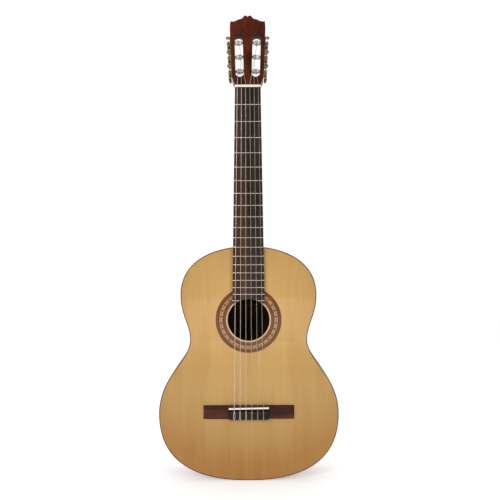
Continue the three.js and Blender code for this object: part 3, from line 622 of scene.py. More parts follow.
def bezier(points, steps):
    """Points on a cubic or quadratic curve, without its last one."""
    out = []
    for k in range(steps):
        t = k / steps
        layer = [Vector(p) for p in points]
        while len(layer) > 1:
            layer = [a.lerp(b, t) for a, b in zip(layer, layer[1:])]
        out.append(layer[0])
    return out


def rounded(points, steps):
    """A smooth curve through points."""
    pts = [Vector(p) for p in points]
    out = []
    for i in range(len(pts) - 1):
        before, a, b, after = pts[max(i - 1, 0)], pts[i], pts[i + 1], pts[min(i + 2, len(pts) - 1)]
        square, cube = 2 * before - 5 * a + 4 * b - after, 3 * a - before - 3 * b + after
        for k in range(steps):
            t = k / steps
            out.append(a + 0.5 * ((b - before) * t + square * t**2 + cube * t**3))
    out.append(pts[-1])
    return out


# ---------------------------------------------------------------- body

OUTLINE_STEPS = 26
HALF = [p for curve in OUTLINE_CURVES for p in bezier(curve, OUTLINE_STEPS)]
HALF.append(Vector((NECK_SEAT, BODY_LENGTH)))


def half_body(inset):
    """The treble half of the body outline from the tail to the neck seat, moved inwards."""
    out = []
    for i, point in enumerate(HALF):
        along = (HALF[min(i + 1, len(HALF) - 1)] - HALF[max(i - 1, 0)]).normalized()
        inwards = Vector((-along.y, along.x))
        if i in (0, len(HALF) - 1):
            inwards = Vector((0, 1 if i == 0 else -1))
        out.append(point + inwards * inset)
    return out


def body_ring(inset):
    half = half_body(inset)
    return [tuple(p) for p in half] + [(-p.x, p.y) for p in reversed(half[1:])]


def lean(z):
    return -HEEL_DEPTH_LOSS * z / BODY_LENGTH


def leaned(mesh, limit=-1e9):
    for vert in mesh.vertices:
        if vert.co.y > limit:
            vert.co.y += lean(vert.co.z)
    return mesh


def map_along_outline(mesh):
    """Lays a map on a rib: how far round the outline a point is, and how deep."""
    runs, nearest = [0.0], kdtree.KDTree(len(HALF))
    for a, b in zip(HALF, HALF[1:]):
        runs.append(runs[-1] + (b - a).length * MM)
    for k, point in enumerate(HALF):
        nearest.insert((point.x * MM, 0, point.y * MM), k)
    nearest.balance()
    layer = mesh.uv_layers.new(name="grain")
    for loop in mesh.loops:
        x, y, z = mesh.vertices[loop.vertex_index].co
        _, k, _ = nearest.find((abs(x), 0, z))
        layer.data[loop.index].uv = (runs[k], y)


def swept_ring(profile):
    """A band round the whole body. The profile gives (inset, y) pairs round its section."""
    return loft([[(x, y, z) for x, z in body_ring(inset)] for inset, y in profile], closed=True)


def binding_profile(front, back, rounded_face):
    """The section of a binding, with its outer edge on one face rounded over."""
    face, inner = (front, back) if rounded_face == "front" else (back, front)
    reach = BINDING_ROUND if inner > face else -BINDING_ROUND
    angles = (0.0, 0.4, 0.8, 1.2, 1.5708)
    over = [(BINDING_ROUND * (1 - math.sin(a)), face + reach * (1 - math.cos(a))) for a in angles]
    return [(BINDING_WIDE, face), *over, (0, inner), (BINDING_WIDE, inner)]


def make_top():
    circle = circle_loop(HOLE_R, (0, HOLE_Z), 144)
    top = plate([body_ring(BINDING_WIDE), circle], FRONT, FRONT + TOP_THICK, 0.18)
    finish_piece(top, "spruce_top_plate", SPRUCE, "soundboard_wood", replaces=["soundboard"])


def make_back():
    """Two book-matched halves, painted dark inside for the shade within the body, and the pale strip between
    them.
    """
    half = half_body(BINDING_WIDE)
    low, high = BACK - BACK_THICK, BACK
    for sign, name in ROWS:
        loop = [(sign * max(p.x, STRIP_HALF), p.y) for p in half]
        loop.append((sign * STRIP_HALF, half[-1].y))
        panel = leaned(plate([loop], low, high, 0.05))
        woods = [BACKS, INSIDE_PAINTED_SHADE]
        finish_piece(panel, f"back_half_{name}", woods, "back_wood", replaces=["back_panel"])
        for face in panel.polygons:
            # the inner face takes the painted shade of the inside
            face.material_index = int(face.normal.y < -0.7)
    foot, top = half[0].y, half[-1].y
    loop = [(-STRIP_HALF, foot), (STRIP_HALF, foot), (STRIP_HALF, top), (-STRIP_HALF, top)]
    strip = leaned(plate([loop], low, high, 0.05))
    finish_piece(strip, "back_centre_strip", STRIP, "back_wood", replaces=["back_panel"])


def make_bindings():
    profile = binding_profile(FRONT, FRONT + BINDING_DEEP, "front")
    finish_piece(swept_ring(profile), "front_binding", EDGING, "dark_binding", replaces=["top_binding"])
    profile = binding_profile(BACK - BINDING_DEEP, BACK, "back")
    rear = leaned(swept_ring(profile))
    finish_piece(rear, "rear_binding", EDGING, "dark_binding", replaces=["back_binding"])


def make_ribs():
    outer = [*half_body(0), Vector((0, BODY_LENGTH))]
    inner = [*half_body(SIDE_THICK), Vector((0, BODY_LENGTH - SIDE_THICK))]
    low, high = FRONT + BINDING_DEEP, BACK - BINDING_DEEP
    for sign, name in ROWS:
        rings = []
        for o, i in zip(outer, inner):
            section = ((o, low), (o, high), (i, high), (i, low))
            rings.append([(sign * point.x, y, point.y) for point, y in section])
        side = leaned(loft(rings), 0)
        finish_piece(side, f"rib_{name}", SIDES, "side_wood", replaces=[f"side_{name}"])
        map_along_outline(side)


def dress_kept_solids():
    """Gives the CAD solids that show only through the soundhole their wood; the bracing and blocks get a wood
    painted dark for the shade inside the body.
    """
    woods = dict.fromkeys(("soundboard_bracing", "back_bracing", "tail_block", "neck_block"), INSIDE_PAINTED_SHADE)
    woods |= dict.fromkeys(("top_lining", "back_lining"), KERFED)
    for node, material in woods.items():
        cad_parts[node].data.materials.clear()
        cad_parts[node].data.materials.append(material)


# The mosaic's repeat, seen from the rim inwards, one letter to a tile.
MOSAIC = (
    "kkddkkdd",
    "rprprprp",
    "pcprrpcp",
    "rprkkrpr",
    "pcprrpcp",
    "rprprprp",
    "kkddkkdd",
)
MOSAIC_REPEATS = 28
CREAM_R = 45.5
MOSAIC_IN, MOSAIC_OUT = 51, 61.5
ROSETTE_BANDS = ((CREAM_R, 50.2, "o"), (50.2, MOSAIC_IN, "d"))
ROSETTE_RIM = ((MOSAIC_OUT, 65.4, "b"), (65.4, ROSETTE_R, "e"))
INLAY_PROUD = 0.05


def make_rosette():
    """Rings and mosaic tiles let into the top round the soundhole."""
    columns = len(MOSAIC[0]) * MOSAIC_REPEATS
    rows = len(MOSAIC)
    tile = (MOSAIC_OUT - MOSAIC_IN) / rows
    mosaic_bands = [(MOSAIC_IN + tile * i, MOSAIC_IN + tile * (i + 1), i) for i in range(rows)]
    bands = [*ROSETTE_BANDS, *mosaic_bands, *ROSETTE_RIM]
    keys = list(INLAYS)
    face, floor = FRONT - INLAY_PROUD, FRONT + 1.1
    verts, faces, chosen = [], [], []
    for radius in (bands[0][0], *(band[1] for band in bands)):
        for a in turn_angles(columns):
            verts.append((radius * math.sin(a), face, HOLE_Z + radius * math.cos(a)))
    for i, (_, _, key) in enumerate(bands):
        for k in range(columns):
            n = (k + 1) % columns
            faces.append((i * columns + k, i * columns + n, (i + 1) * columns + n, (i + 1) * columns + k))
            letter = MOSAIC[rows - 1 - key][k % len(MOSAIC[0])] if isinstance(key, int) else key
            chosen.append(keys.index(letter))
    top_ring = len(bands) * columns
    inner = len(verts)
    outer = inner + columns
    for ring in (0, top_ring):
        verts += [(verts[ring + k][0], floor, verts[ring + k][2]) for k in range(columns)]
    for k in range(columns):
        n = (k + 1) % columns
        faces += [(k, inner + k, inner + n, n), (top_ring + n, outer + n, outer + k, top_ring + k)]
        faces.append((inner + k, outer + k, outer + n, inner + n))
        chosen += [keys.index("o")] * 3
    mesh = bpy.data.meshes.new("rosette")
    mesh.from_pydata(verts, [], faces)
    mesh.polygons.foreach_set("material_index", chosen)
    tidy(mesh)
    chosen_now = [p.material_index for p in mesh.polygons]  # clearing the materials loses it
    finish_piece(mesh, "rosette_inlay", list(INLAYS.values()), "rosette_inlay", replaces=["rosette"])
    mesh.polygons.foreach_set("material_index", chosen_now)
    rim = [circle_loop(radius, (0, HOLE_Z), 144) for radius in (CREAM_R, HOLE_R + 0.1)]
    rim_plate = plate(rim, FRONT - INLAY_PROUD, FRONT + 0.6, 0.05)
    finish_piece(rim_plate, "soundhole_rim_inlay", CREAM, "rosette_inlay")


# ---------------------------------------------------------------- bridge, saddle and nut


def string_x(spacing, i):
    return (i - 2.5) * spacing


def rounded_section(low, high, y_base, y_top, radius, steps=5):
    """A section of a bar in Y and Z: square at the base, with its two top edges rounded over."""
    angles = [math.pi / 2 * k / steps for k in range(steps + 1)]
    corner = [(y_top + radius * (1 - math.sin(a)), radius * (1 - math.cos(a))) for a in angles]
    rising = [(y, low + in_from_edge) for y, in_from_edge in corner]
    falling = [(y, high - in_from_edge) for y, in_from_edge in reversed(corner)]
    return [(y_base, low), *rising, *falling, (y_base, high)]


def bridge_wings():
    """The bridge's two thin wings, thinner still towards their tips."""
    inner = TIE_HALF / BRIDGE_HALF
    half_stations = [inner, inner + 0.02, 0.52, 0.65, 0.8, 0.9, 0.95, 0.985, 1]
    rings = []
    for s in [-s for s in reversed(half_stations)] + half_stations:
        tall = WING_TIP + (WING_ROOT - WING_TIP) * (1 - abs(s) ** 6) ** 0.5
        section = rounded_section(BRIDGE_LOW, BRIDGE_HIGH, FRONT, FRONT - tall, min(1.6, tall * 0.6))
        rings.append([(s * BRIDGE_HALF, y, z) for y, z in section])
    return loft(rings)


def make_bridge():
    tie = block((-TIE_BLOCK_HALF, BRIDGE_TOP + TIE_CAP, TIE_LOW), (TIE_BLOCK_HALF, FRONT, TIE_HIGH), 0.3)
    ridge = block((-TIE_HALF, RIDGE_TOP, SADDLE_Z - 3), (TIE_HALF, FRONT - 1, BRIDGE_HIGH), 0.5)
    solid = boolean(bridge_wings(), "UNION", tie, ridge)
    half_long, half = SADDLE_HALF + 0.2, SADDLE_THICK / 2 + 0.05
    slot = block((-half_long, RIDGE_TOP - 2, -half), (half_long, FRONT - 1.9, half), place=SADDLE_PLACE)
    holes = []
    for i in range(6):
        place = Matrix.Translation((string_x(SADDLE_SPACING, i), TIE_HOLE_Y, 0))
        place @= Matrix.Rotation(-math.pi / 2, 4, "Y")
        holes.append(lathe([(TIE_LOW - 2, 1), (TIE_HIGH + 2, 1)], place, 16))
    solid = boolean(solid, "DIFFERENCE", slot, *holes)
    finish_piece(solid, "bridge_body", [BRIDGE_WOOD, TIE_WOOD], "bridge_wood", replaces=["bridge"])
    # The tie block is ebony. Painted shade: the channel between the tie block and the saddle, and every
    # bridge face that faces up or down, take the same dark ebony.
    for face in solid.polygons:
        x, _, z = (c / MM for c in face.center)
        block_and_channel_shade = abs(x) < TIE_HALF + 0.1 and z < SADDLE_Z - 1.6
        face.material_index = int(block_and_channel_shade or abs(face.normal.z) > 0.7)
    cap_floor = BRIDGE_TOP + TIE_CAP
    cap = block((-TIE_BLOCK_HALF, BRIDGE_TOP, TIE_LOW), (TIE_BLOCK_HALF, cap_floor, TIE_HIGH), 0.35)
    finish_piece(cap, "tie_block_cap", TIE_WOOD, "bridge_wood")
    half = TIE_BLOCK_HALF - 1.6
    for z, name in ((TIE_LOW + 1.3, "tail"), (TIE_HIGH - 1.3, "saddle")):
        edging = block((-half, BRIDGE_TOP - 0.02, z - 0.35), (half, BRIDGE_TOP + 0.5, z + 0.35), 0.1)
        finish_piece(edging, f"tie_block_line_{name}", EDGING, "bridge_wood")


def make_saddle():
    rings = []
    half = SADDLE_THICK / 2
    for k in range(25):
        x = mix(-SADDLE_HALF, SADDLE_HALF, k / 24)
        top = SADDLE_TOP + 0.8 * max(0, (abs(x) - SADDLE_HALF + 1.2) / 1.2) ** 2
        section = [(FRONT - 2.1, -half), (top + 0.8, -half), (top + 0.15, -half * 0.7), (top, 0)]
        section += [(top + 0.12, half * 0.6), (top + 0.7, half), (FRONT - 2.1, half)]
        rings.append([(x, y, z) for y, z in section])
    finish_piece(loft(rings, SADDLE_PLACE), "bone_saddle", BONE, "bone", replaces=["saddle"])


def make_nut():
    rings = []
    front, back = NUT_FRONT, NUT_FRONT + NUT_THICK
    for k in range(41):
        x = mix(-NUT_HALF, NUT_HALF, k / 40)
        top = NUT_TOP + 0.7 * max(0, abs(x) - NUT_HALF + 1) ** 2
        section = [(FRONT, front), (top + 0.25, front), (top, front + 0.3), (top + 0.1, front + 1.6)]
        section += [(top + 0.9, front + 3.4), (top + 2.3, back - 0.3), (top + 3.0, back), (FRONT, back)]
        rings.append([(x, y, z) for y, z in section])
    grooves = []
    for i, radius in enumerate(STRING_R):
        x, y = string_x(NUT_SPACING, i), NUT_TOP + NUT_GROOVE - radius - 0.1
        path = [(x, y - NUT_FALL * 3, front - 3), (x, y + NUT_FALL * 9, front + 9)]
        grooves.append(tube(path, radius + 0.12, 16))
    solid = boolean(loft(rings), "DIFFERENCE", *grooves)
    finish_piece(solid, "bone_nut", BONE, "bone", replaces=["nut"])


# ---------------------------------------------------------------- neck and head

HEEL_END = BACK + lean(BODY_LENGTH) - 2.5
HEEL_END_HALF, HEEL_END_LONG = 11.5, 14
VOLUTE_LOW = 782  # where the shaft starts to thicken towards the head


def board_half(z):
    return mix(NUT_HALF, BODY_HALF, (NUT_Z - z) / (SCALE / 2))


def fret_z(n):
    return NUT_Z - SCALE * (1 - 2 ** (-n / 12))


def arc_x(z):
    return math.sqrt(BOARD_ARC_R**2 - (z - HOLE_Z) ** 2)


def make_fingerboard():
    start = math.atan2(BOARD_END_Z - HOLE_Z, arc_x(BOARD_END_Z))
    loop = [(board_half(BOARD_END_Z), BOARD_END_Z), (NUT_HALF, NUT_FRONT), (-NUT_HALF, NUT_FRONT)]
    loop.append((-board_half(BOARD_END_Z), BOARD_END_Z))
    arc = circle_loop(BOARD_ARC_R, (0, HOLE_Z), 40, start, math.pi - start)
    loop += reversed(arc)
    board = plate([loop], BOARD_TOP, FRONT, 0.45)
    finish_piece(board, "rosewood_board", BOARD, "fingerboard_wood", replaces=["fingerboard"], sharp=50)
    for n in range(1, FRETS):
        half = board_half(fret_z(n))
        node = f"fret_{n:02d}"
        make_fret(node + "_wire", fret_z(n), -half, half, node)
    last = fret_z(FRETS)
    inner, outer = arc_x(last) + 0.6, board_half(last)
    make_fret("fret_19_bass_wire", last, -outer, -inner, "fret_19_bass")
    make_fret("fret_19_treble_wire", last, inner, outer, "fret_19_treble")


def make_fret(name, z, x_low, x_high, node):
    """Fret wire: a rounded crown with both ends filed back."""
    low_end = ((x_low, 0.35), (x_low + 0.5, 0.8), (x_low + 1.1, 1))
    high_end = ((x_high - 1.1, 1), (x_high - 0.5, 0.8), (x_high, 0.35))
    rings = []
    for x, share in (*low_end, *high_end):
        points = []
        for k in range(11):
            a = math.pi * k / 10
            crown = FRET_HIGH * share * math.sin(a) ** 0.8
            points.append((x, BOARD_TOP - 0.02 - crown, z - FRET_HALF * math.cos(a)))
        points += [(x, BOARD_TOP + 0.15, z + FRET_HALF), (x, BOARD_TOP + 0.15, z - FRET_HALF)]
        rings.append(points)
    finish_piece(loft(rings), name, FRET_METAL, "fret_metal", replaces=[node], sharp=60)


def half_head(low):
    """Half of the head outline, from the middle of its foot to the notch in the crown."""
    points = bezier(((0, low), (26.1, low)), 6)
    points += bezier(((26.1, low), (26.6, 8), (31.2, 10), HEAD_LOW), 12)
    points += bezier((HEAD_LOW, HEAD_HIGH), 16)
    points += bezier((HEAD_HIGH, (37.6, 140), (36.4, 153)), 8)
    points += bezier(((36.4, 153), (31.4, 153)), 2)
    points += bezier(((31.4, 153), (24, 153.5), (22, 158), (14, 159.5)), 14)
    points += bezier(((14, 159.5), (9, 161.5), (9, 168), (4.6, 167.8)), 14)
    points += bezier(((4.6, 167.8), (1.6, 167.5), (0, 164.4)), 8)
    points.append(Vector((0, 164.4)))
    return points


def slot_loop(sign):
    half = SLOT_WIDE / 2
    low = Vector((sign * SLOT_LOW_X, SLOT_LOW + half))
    high = Vector((sign * SLOT_HIGH_X, SLOT_HIGH - half))
    turn = math.atan2(high.y - low.y, high.x - low.x)
    loop = circle_loop(half, high, 20, turn - math.pi / 2, turn + math.pi / 2)
    return loop + circle_loop(half, low, 20, turn + math.pi / 2, turn + 1.5 * math.pi)


def head_board(low, front, back, bevel):
    half = half_head(low)
    outline = [tuple(p) for p in half] + [(-p.x, p.y) for p in reversed(half[1:-1])]
    return plate([outline, slot_loop(-1), slot_loop(1)], front, back, bevel)


def ramp_tools(place=None):
    """Wedges with round floors that let the strings down into the slots."""
    tools = []
    for sign, _ in ROWS:
        path = [(sign * SLOT_LOW_X, -16.8, 8), (sign * SLOT_LOW_X, -9.6, 28)]
        tools.append(tube(path, 12.6, 48, place))
    return tools


def squared_arch(half, reach, across_power, reach_power, steps=28):
    """Points over half a squared circle, from one foot to the other: how far across, and how far out."""
    points = []
    for k in range(steps + 1):
        a = math.pi * k / steps
        c = math.cos(a)
        across = half * math.copysign(abs(c) ** across_power, c)
        points.append((across, reach * max(math.sin(a), 0) ** reach_power))
    return points


def shaft_ring(z, depth, half):
    return [(x, FRONT + deep, z) for x, deep in squared_arch(half, depth, 0.8, 0.85)]


def heel_ring(y, half, length):
    return [(x, y, BODY_LENGTH + up) for x, up in squared_arch(half, length, 0.75, 0.9)]


def neck_shaft():
    """The neck's shaft, thinner towards the nut and a little thicker again under it."""
    rings = []
    for k in range(41):
        z = mix(BODY_LENGTH, NUT_FRONT + NUT_THICK + 0.5, k / 40)
        depth = mix(17.5, 14.5, (z - BODY_LENGTH) / (NUT_Z - BODY_LENGTH))
        depth += 2 * smooth_step(z, VOLUTE_LOW, NUT_FRONT)
        rings.append(shaft_ring(z, depth, board_half(min(z, NUT_Z))))
    return loft(rings)


def neck_heel():
    rings = []
    for k in range(33):
        t = 0.04 + 0.96 * k / 32
        half = mix(HEEL_END_HALF, NECK_SEAT - 0.4, (1 - t) ** 1.5)
        rings.append(heel_ring(mix(FRONT, HEEL_END, t), half, HEEL_END_LONG + 105 * (1 - t) ** 2.6))
    return loft(rings)


def roller_holes():
    """The bores for the rollers' shafts, from each plate across the slot into the middle of the head."""
    holes = []
    for sign, _ in ROWS:
        for up in ROLLER_UP:
            place = side_frame(sign) @ Matrix.Translation((0, ROLLER_DEEP, along_side(up)))
            holes.append(lathe([(SLOT_CENTRE - SLOT_WIDE / 2 - 6.2, 3.1), (4, 3.1)], place, 24))
    return holes


def make_neck():
    core = head_board(1.4, VENEER, HEAD_THICK, 1.0)
    core.transform(HEAD)
    solid = boolean(neck_shaft(), "UNION", neck_heel(), core)
    solid = boolean(solid, "DIFFERENCE", *ramp_tools(HEAD), *roller_holes())
    finish_piece(solid, "neck_and_head", [NECK, SLOT_WALL_SHADE], "neck_wood", replaces=["neck"], sharp=32)
    to_head = HEAD.inverted()
    slot_edge = SLOT_HIGH_X + SLOT_WIDE / 2 + 0.7
    # the faces inside the slots take the painted shade of the slot walls
    for face in solid.polygons:
        spot = to_head @ (face.center / MM)
        in_slot = VENEER < spot.y < HEAD_THICK - 1 and spot.z > SLOT_LOW - 2 and abs(spot.x) < slot_edge
        face.material_index = int(in_slot)


def make_heel_cap():
    half, long = HEEL_END_HALF, HEEL_END_LONG
    rings = [heel_ring(HEEL_END, half, long), heel_ring(HEEL_END + 2.1, half, long)]
    rings.append(heel_ring(HEEL_END + 2.5, half - 0.5, long - 0.5))
    finish_piece(loft(rings), "heel_cap_plate", EDGING, "heel_cap_wood", replaces=["heel_cap"])


def make_head_face():
    face = boolean(head_board(0.2, 0, VENEER, 0.35), "DIFFERENCE", *ramp_tools())
    face.transform(HEAD)
    finish_piece(face, "rosewood_head_face", VENEER_WOOD, "head_veneer_wood", replaces=["head_veneer"])


# ---------------------------------------------------------------- tuning machines

GEAR_TEETH = 14
GEAR_TIP, GEAR_ROOT = 4.6, 3.75
GEAR_LOW, GEAR_HIGH = 2.8, 6.2
WORM_ROOT, WORM_CREST, WORM_PITCH = 1.95, 2.6, 1.84


def gear_loop():
    points = []
    for i in range(GEAR_TEETH):
        for part, radius in ((-0.30, GEAR_ROOT), (-0.16, GEAR_TIP), (0.16, GEAR_TIP), (0.30, GEAR_ROOT)):
            a = (i + part) * 2 * math.pi / GEAR_TEETH
            points.append((radius * math.cos(a), radius * math.sin(a)))
    return points


def slotted_screw(radius, tall, place):
    """A domed screw head that stands along X, with its slot."""
    profile = [(-0.6, radius * 0.98), (0, radius), (tall * 0.5, radius * 0.93), (tall * 0.85, radius * 0.7)]
    profile.append((tall, radius * 0.35))
    slot = block((tall - 0.7, -radius - 1, -0.28), (tall + 1, radius + 1, 0.28))
    return tidy(boolean(lathe(profile, None, 24), "DIFFERENCE", slot), place)


def worm_mesh(place):
    """A right-handed worm about Y: the surface swells from root to crest along its thread."""
    around, steps = 20, 52
    rings = []
    for i in range(steps + 1):
        y = mix(-WORM_LONG / 2, WORM_LONG / 2, i / steps)
        fade = min(1, min(i, steps - i) / 4)
        ring = []
        for a in turn_angles(around):
            swell = 0.5 + 0.5 * math.cos(2 * math.pi * y / WORM_PITCH - a)
            radius = WORM_ROOT + (WORM_CREST - WORM_ROOT) * fade * smooth_step(swell, 0.25, 0.75)
            ring.append((radius * math.cos(a), y, -radius * math.sin(a)))
        rings.append(ring)
    return loft(rings, place)


def button_mesh(place):
    """A flat oval button: fuller in the middle, with soft edges."""
    rings = []
    steps, around = 16, 32
    middle, half = (BUTTON_LOW + BUTTON_HIGH) / 2, (BUTTON_HIGH - BUTTON_LOW) / 2
    for i in range(steps + 1):
        s = math.cos(math.pi * (1 - i / steps))
        size = max(1 - abs(s) ** 2.4, 0.0004) ** 0.5
        ring = []
        for a in turn_angles(around):
            c, d = math.cos(a), math.sin(a)
            x = BUTTON_THICK * size**0.8 * math.copysign(abs(c) ** 0.8, c)
            z = BUTTON_WIDE * size * math.copysign(abs(d) ** 0.92, d)
            ring.append((x, middle + half * s, z))
        rings.append(ring)
    return loft(rings, place)


def finish_metal(mesh, name, body="guitar", material=BRASS, replaces=(), sharp=SHARP):
    finish_piece(mesh, name, material, "tuner_brass", body, replaces, sharp)


def make_roller(i, number, roller):
    """A string roller: its barrel and shaft, its worm gear and the screw that holds the gear."""
    body = f"roller_{number}"
    end = [(-6.7, 3.2), (-6.7, 4.5), (-6.2, 5.0), (-5.4, 5.0), (-4.9, 4.75)]
    profile = [(SLOT_CENTRE + x, r) for x, r in end] + [(SLOT_CENTRE - x, r) for x, r in reversed(end)]
    barrel, node = lathe(profile, roller, 32), f"string_roller_{number}"
    finish_piece(barrel, f"roller_barrel_{number}", IVORY, "roller_plastic", body, [node])
    profile = [(SLOT_CENTRE - 14.3, 2.6), (SLOT_CENTRE - 14.0, 2.9), (GEAR_LOW + 0.5, 2.9)]
    finish_metal(lathe(profile, roller, 24), f"roller_shaft_{number}", body, STEEL)
    gear = plate([gear_loop()], GEAR_LOW, GEAR_HIGH, 0.18, roller, DRAWN_YZ)
    finish_metal(gear, f"worm_gear_{number}", body)
    screw = slotted_screw(2.5, 1.7, roller @ Matrix.Translation((GEAR_HIGH, 0, 0)))
    finish_metal(screw, f"gear_screw_{number}", body)
    make_winding(i, number, roller)


def make_winding(i, number, roller):
    """The turns of a string on its roller, side by side towards the nearer wall of the slot."""
    steps = 24
    out = SLOT_CENTRE + WOUND_OUT[i]
    pitch = (2 * STRING_R[i] + 0.05) * (1 if WOUND_OUT[i] <= 0 else -1)
    coil = []
    for k in range(int(WINDING_TURNS * steps) + 1):
        a = coil_start_angle(i) + 2 * math.pi * k / steps
        coil.append((out + pitch * k / steps, -coil_radius(i) * math.cos(a), coil_radius(i) * math.sin(a)))
    mesh = tube(coil, STRING_R[i], 10, roller)
    finish_piece(mesh, f"string_winding_{number}", *string_finish(i), f"roller_{number}")


def make_key(number, key):
    """A key: its worm, the stub and the stem that run in the brackets, and its button."""
    body = f"key_{number}"
    worm = worm_mesh(key @ Matrix.Translation((0, ROLLER_DEEP, 0)))
    finish_metal(worm, f"worm_{number}", body, DARK_STEEL, [f"tuner_key_{number}"], 50)
    turned = key @ Matrix.Rotation(math.pi / 2, 4, "Z")
    low_end, high_end = ROLLER_DEEP - WORM_LONG / 2, ROLLER_DEEP + WORM_LONG / 2
    stub = lathe([(low_end - 1.75, 1.0), (low_end - 1.6, 1.4), (low_end + 0.3, 1.4)], turned, 20)
    profile = [(high_end - 0.3, 1.4), (high_end + 1.8, 1.4), (high_end + 2.0, 1.75), (BUTTON_LOW - 3.0, 1.6)]
    profile += [(BUTTON_LOW - 2.8, 2.3), (BUTTON_LOW - 0.4, 2.4), (BUTTON_LOW + 1.6, 2.1)]
    finish_metal(joined(stub, lathe(profile, turned, 24)), f"key_stem_{number}", body)
    button = button_mesh(key @ Matrix.Rotation(BUTTON_TURN, 4, "Y"))
    finish_piece(button, f"button_{number}", BLACK, "button_plastic", body)


def make_tuner(i):
    number = 6 - i
    side = side_frame(row_sign(i))
    up = along_side(ROLLER_UP[ROLLER_OF[i]])
    make_roller(i, number, side @ Matrix.Translation((0, ROLLER_DEEP, up)))
    make_key(number, side @ Matrix.Translation((WORM_X, 0, up + WORM_OFFSET)))


def plate_edge(y_sign, steps=72):
    """One long edge of a side plate: lobes at the rollers, a waist between them and round ends."""
    half = (PLATE_BACK - PLATE_FRONT) / 2
    low, high = PLATE_LOW - ROLLER_UP[1], PLATE_HIGH - ROLLER_UP[1]
    out = []
    for k in range(steps + 1):
        along = mix(low, high, k / steps)
        to_end = min(along - low, high - along)
        wave = 0.5 + 0.5 * math.cos(2 * math.pi * along / (ROLLER_UP[1] - ROLLER_UP[0]))
        ends = min(1, math.sqrt(max(to_end, 0.15) / 6))
        out.append((PLATE_MIDDLE + y_sign * half * (0.66 + 0.34 * wave) * ends, along))
    return out


def teardrop(centre, long, wide, steps=20):
    """A pointed oval window in a side plate."""
    points = []
    for a in turn_angles(steps):
        across = wide * math.sin(a) * math.sin(a / 2) ** 1.2
        points.append((centre[0] + across, centre[1] - long * math.cos(a)))
    return points


def scroll_mesh(up, place):
    """A brass curl: it leaves the plate, arches outwards and turns in on a small ball."""
    radius, thick, steps = 4.0, 1.1, 26
    centre = (SCROLL_REACH - radius, along_side(up))
    path = [(PLATE_OUT - 0.5, centre[1] + 0.4), (PLATE_OUT + 1.4, centre[1] + 1.3)]
    size = [thick * 1.5, thick * 1.2]
    for k in range(steps + 1):
        a = math.radians(mix(140, -130, k / steps))
        r = (radius - thick) * mix(1, 0.72, k / steps)
        path.append((centre[0] + r * math.cos(a), centre[1] + r * math.sin(a)))
        size.append(thick * mix(1.1, 0.75, k / steps))
    curl = tube([(x, PLATE_MIDDLE, z) for x, z in path], size, 12)
    ball = bmesh.new()
    bmesh.ops.create_uvsphere(ball, u_segments=14, v_segments=9, radius=1.25)
    bmesh.ops.translate(ball, vec=(path[-1][0], PLATE_MIDDLE, path[-1][1]), verts=ball.verts)
    end = bpy.data.meshes.new("ball")
    ball.to_mesh(end)
    ball.free()
    to_middle = Matrix.Translation((0, PLATE_MIDDLE, 0))
    widened = to_middle @ Matrix.Diagonal((1, 1.9, 1, 1)) @ to_middle.inverted()
    return tidy(boolean(curl, "UNION", end), place @ widened)


def make_brackets(side, height, name):
    """The two lugs that carry a worm, in front of it and behind it."""
    loop = [(PLATE_OUT - 0.3, height - 3.3), (WORM_X, height - 2.8)]
    loop += circle_loop(2.8, (WORM_X + 0.1, height), 16, -math.pi / 2, math.pi / 2)
    loop += [(WORM_X, height + 2.8), (PLATE_OUT - 0.3, height + 3.3)]
    hole = circle_loop(1.6, (WORM_X, height), 20)
    for end, label in ((-1, "front"), (1, "rear")):
        deep = ROLLER_DEEP + end * (WORM_LONG / 2 + 1)
        lug = plate([loop, hole], deep - 0.65, deep + 0.65, 0.2, side)
        finish_metal(lug, f"worm_bracket_{label}_{name}")


def make_tuner_plate(sign, name):
    side = side_frame(sign)
    outline = plate_edge(1) + plate_edge(-1)[::-1]
    holes = [circle_loop(3.25, (ROLLER_DEEP, along_side(up)), 28) for up in ROLLER_UP]
    for up in SCROLL_UP[:2]:
        for offset in (-2.3, 2.3):
            holes.append(teardrop((PLATE_MIDDLE + offset, along_side(up) - 1.5), 3.0, 1.3))
    body_plate = plate([outline, *holes], PLATE_IN, PLATE_OUT, 0.25, side, DRAWN_YZ)
    finish_metal(body_plate, f"plate_{name}", replaces=[f"tuner_plate_{name}"])
    for k, up in enumerate(SCROLL_UP):
        finish_metal(scroll_mesh(up, side), f"plate_scroll_{name}_{k + 1}")
    for k, up in enumerate(ROLLER_UP):
        make_brackets(side, along_side(up) + WORM_OFFSET, f"{name}_{k + 1}")
    for k, up in enumerate(PLATE_SCREWS_UP):
        place = side @ Matrix.Translation((PLATE_OUT, PLATE_MIDDLE, along_side(up)))
        finish_metal(slotted_screw(1.5, 0.8, place), f"plate_screw_{name}_{k + 1}")


# ---------------------------------------------------------------- strings


def row_sign(i):
    return -1 if i < 3 else 1


def string_finish(i):
    return (BASS_WOUND, "wound_string") if i < 3 else (NYLON, "nylon_string")


def coil_radius(i):
    return ROLLER_R - 0.25 + STRING_R[i]


def roller_axis(i):
    """The middle of a string's place on its roller, in the head's frame."""
    spot = Vector((SLOT_CENTRE + WOUND_OUT[i], ROLLER_DEEP, along_side(ROLLER_UP[ROLLER_OF[i]])))
    return HEAD.inverted() @ side_frame(row_sign(i)) @ spot


def nut_string_y(i):
    return NUT_TOP + NUT_GROOVE - STRING_R[i] - 0.05


def coil_start_angle(i):
    """How far round the roller, from its front, a string first touches it. Positive is towards the tip."""
    axis = roller_axis(i)
    nut = HEAD.inverted() @ Vector((0, nut_string_y(i) + NUT_FALL * NUT_THICK, NUT_FRONT + NUT_THICK))
    gap = Vector((nut.y - axis.y, nut.z - axis.z))
    return math.atan2(gap.y, -gap.x) + math.acos(coil_radius(i) / gap.length)


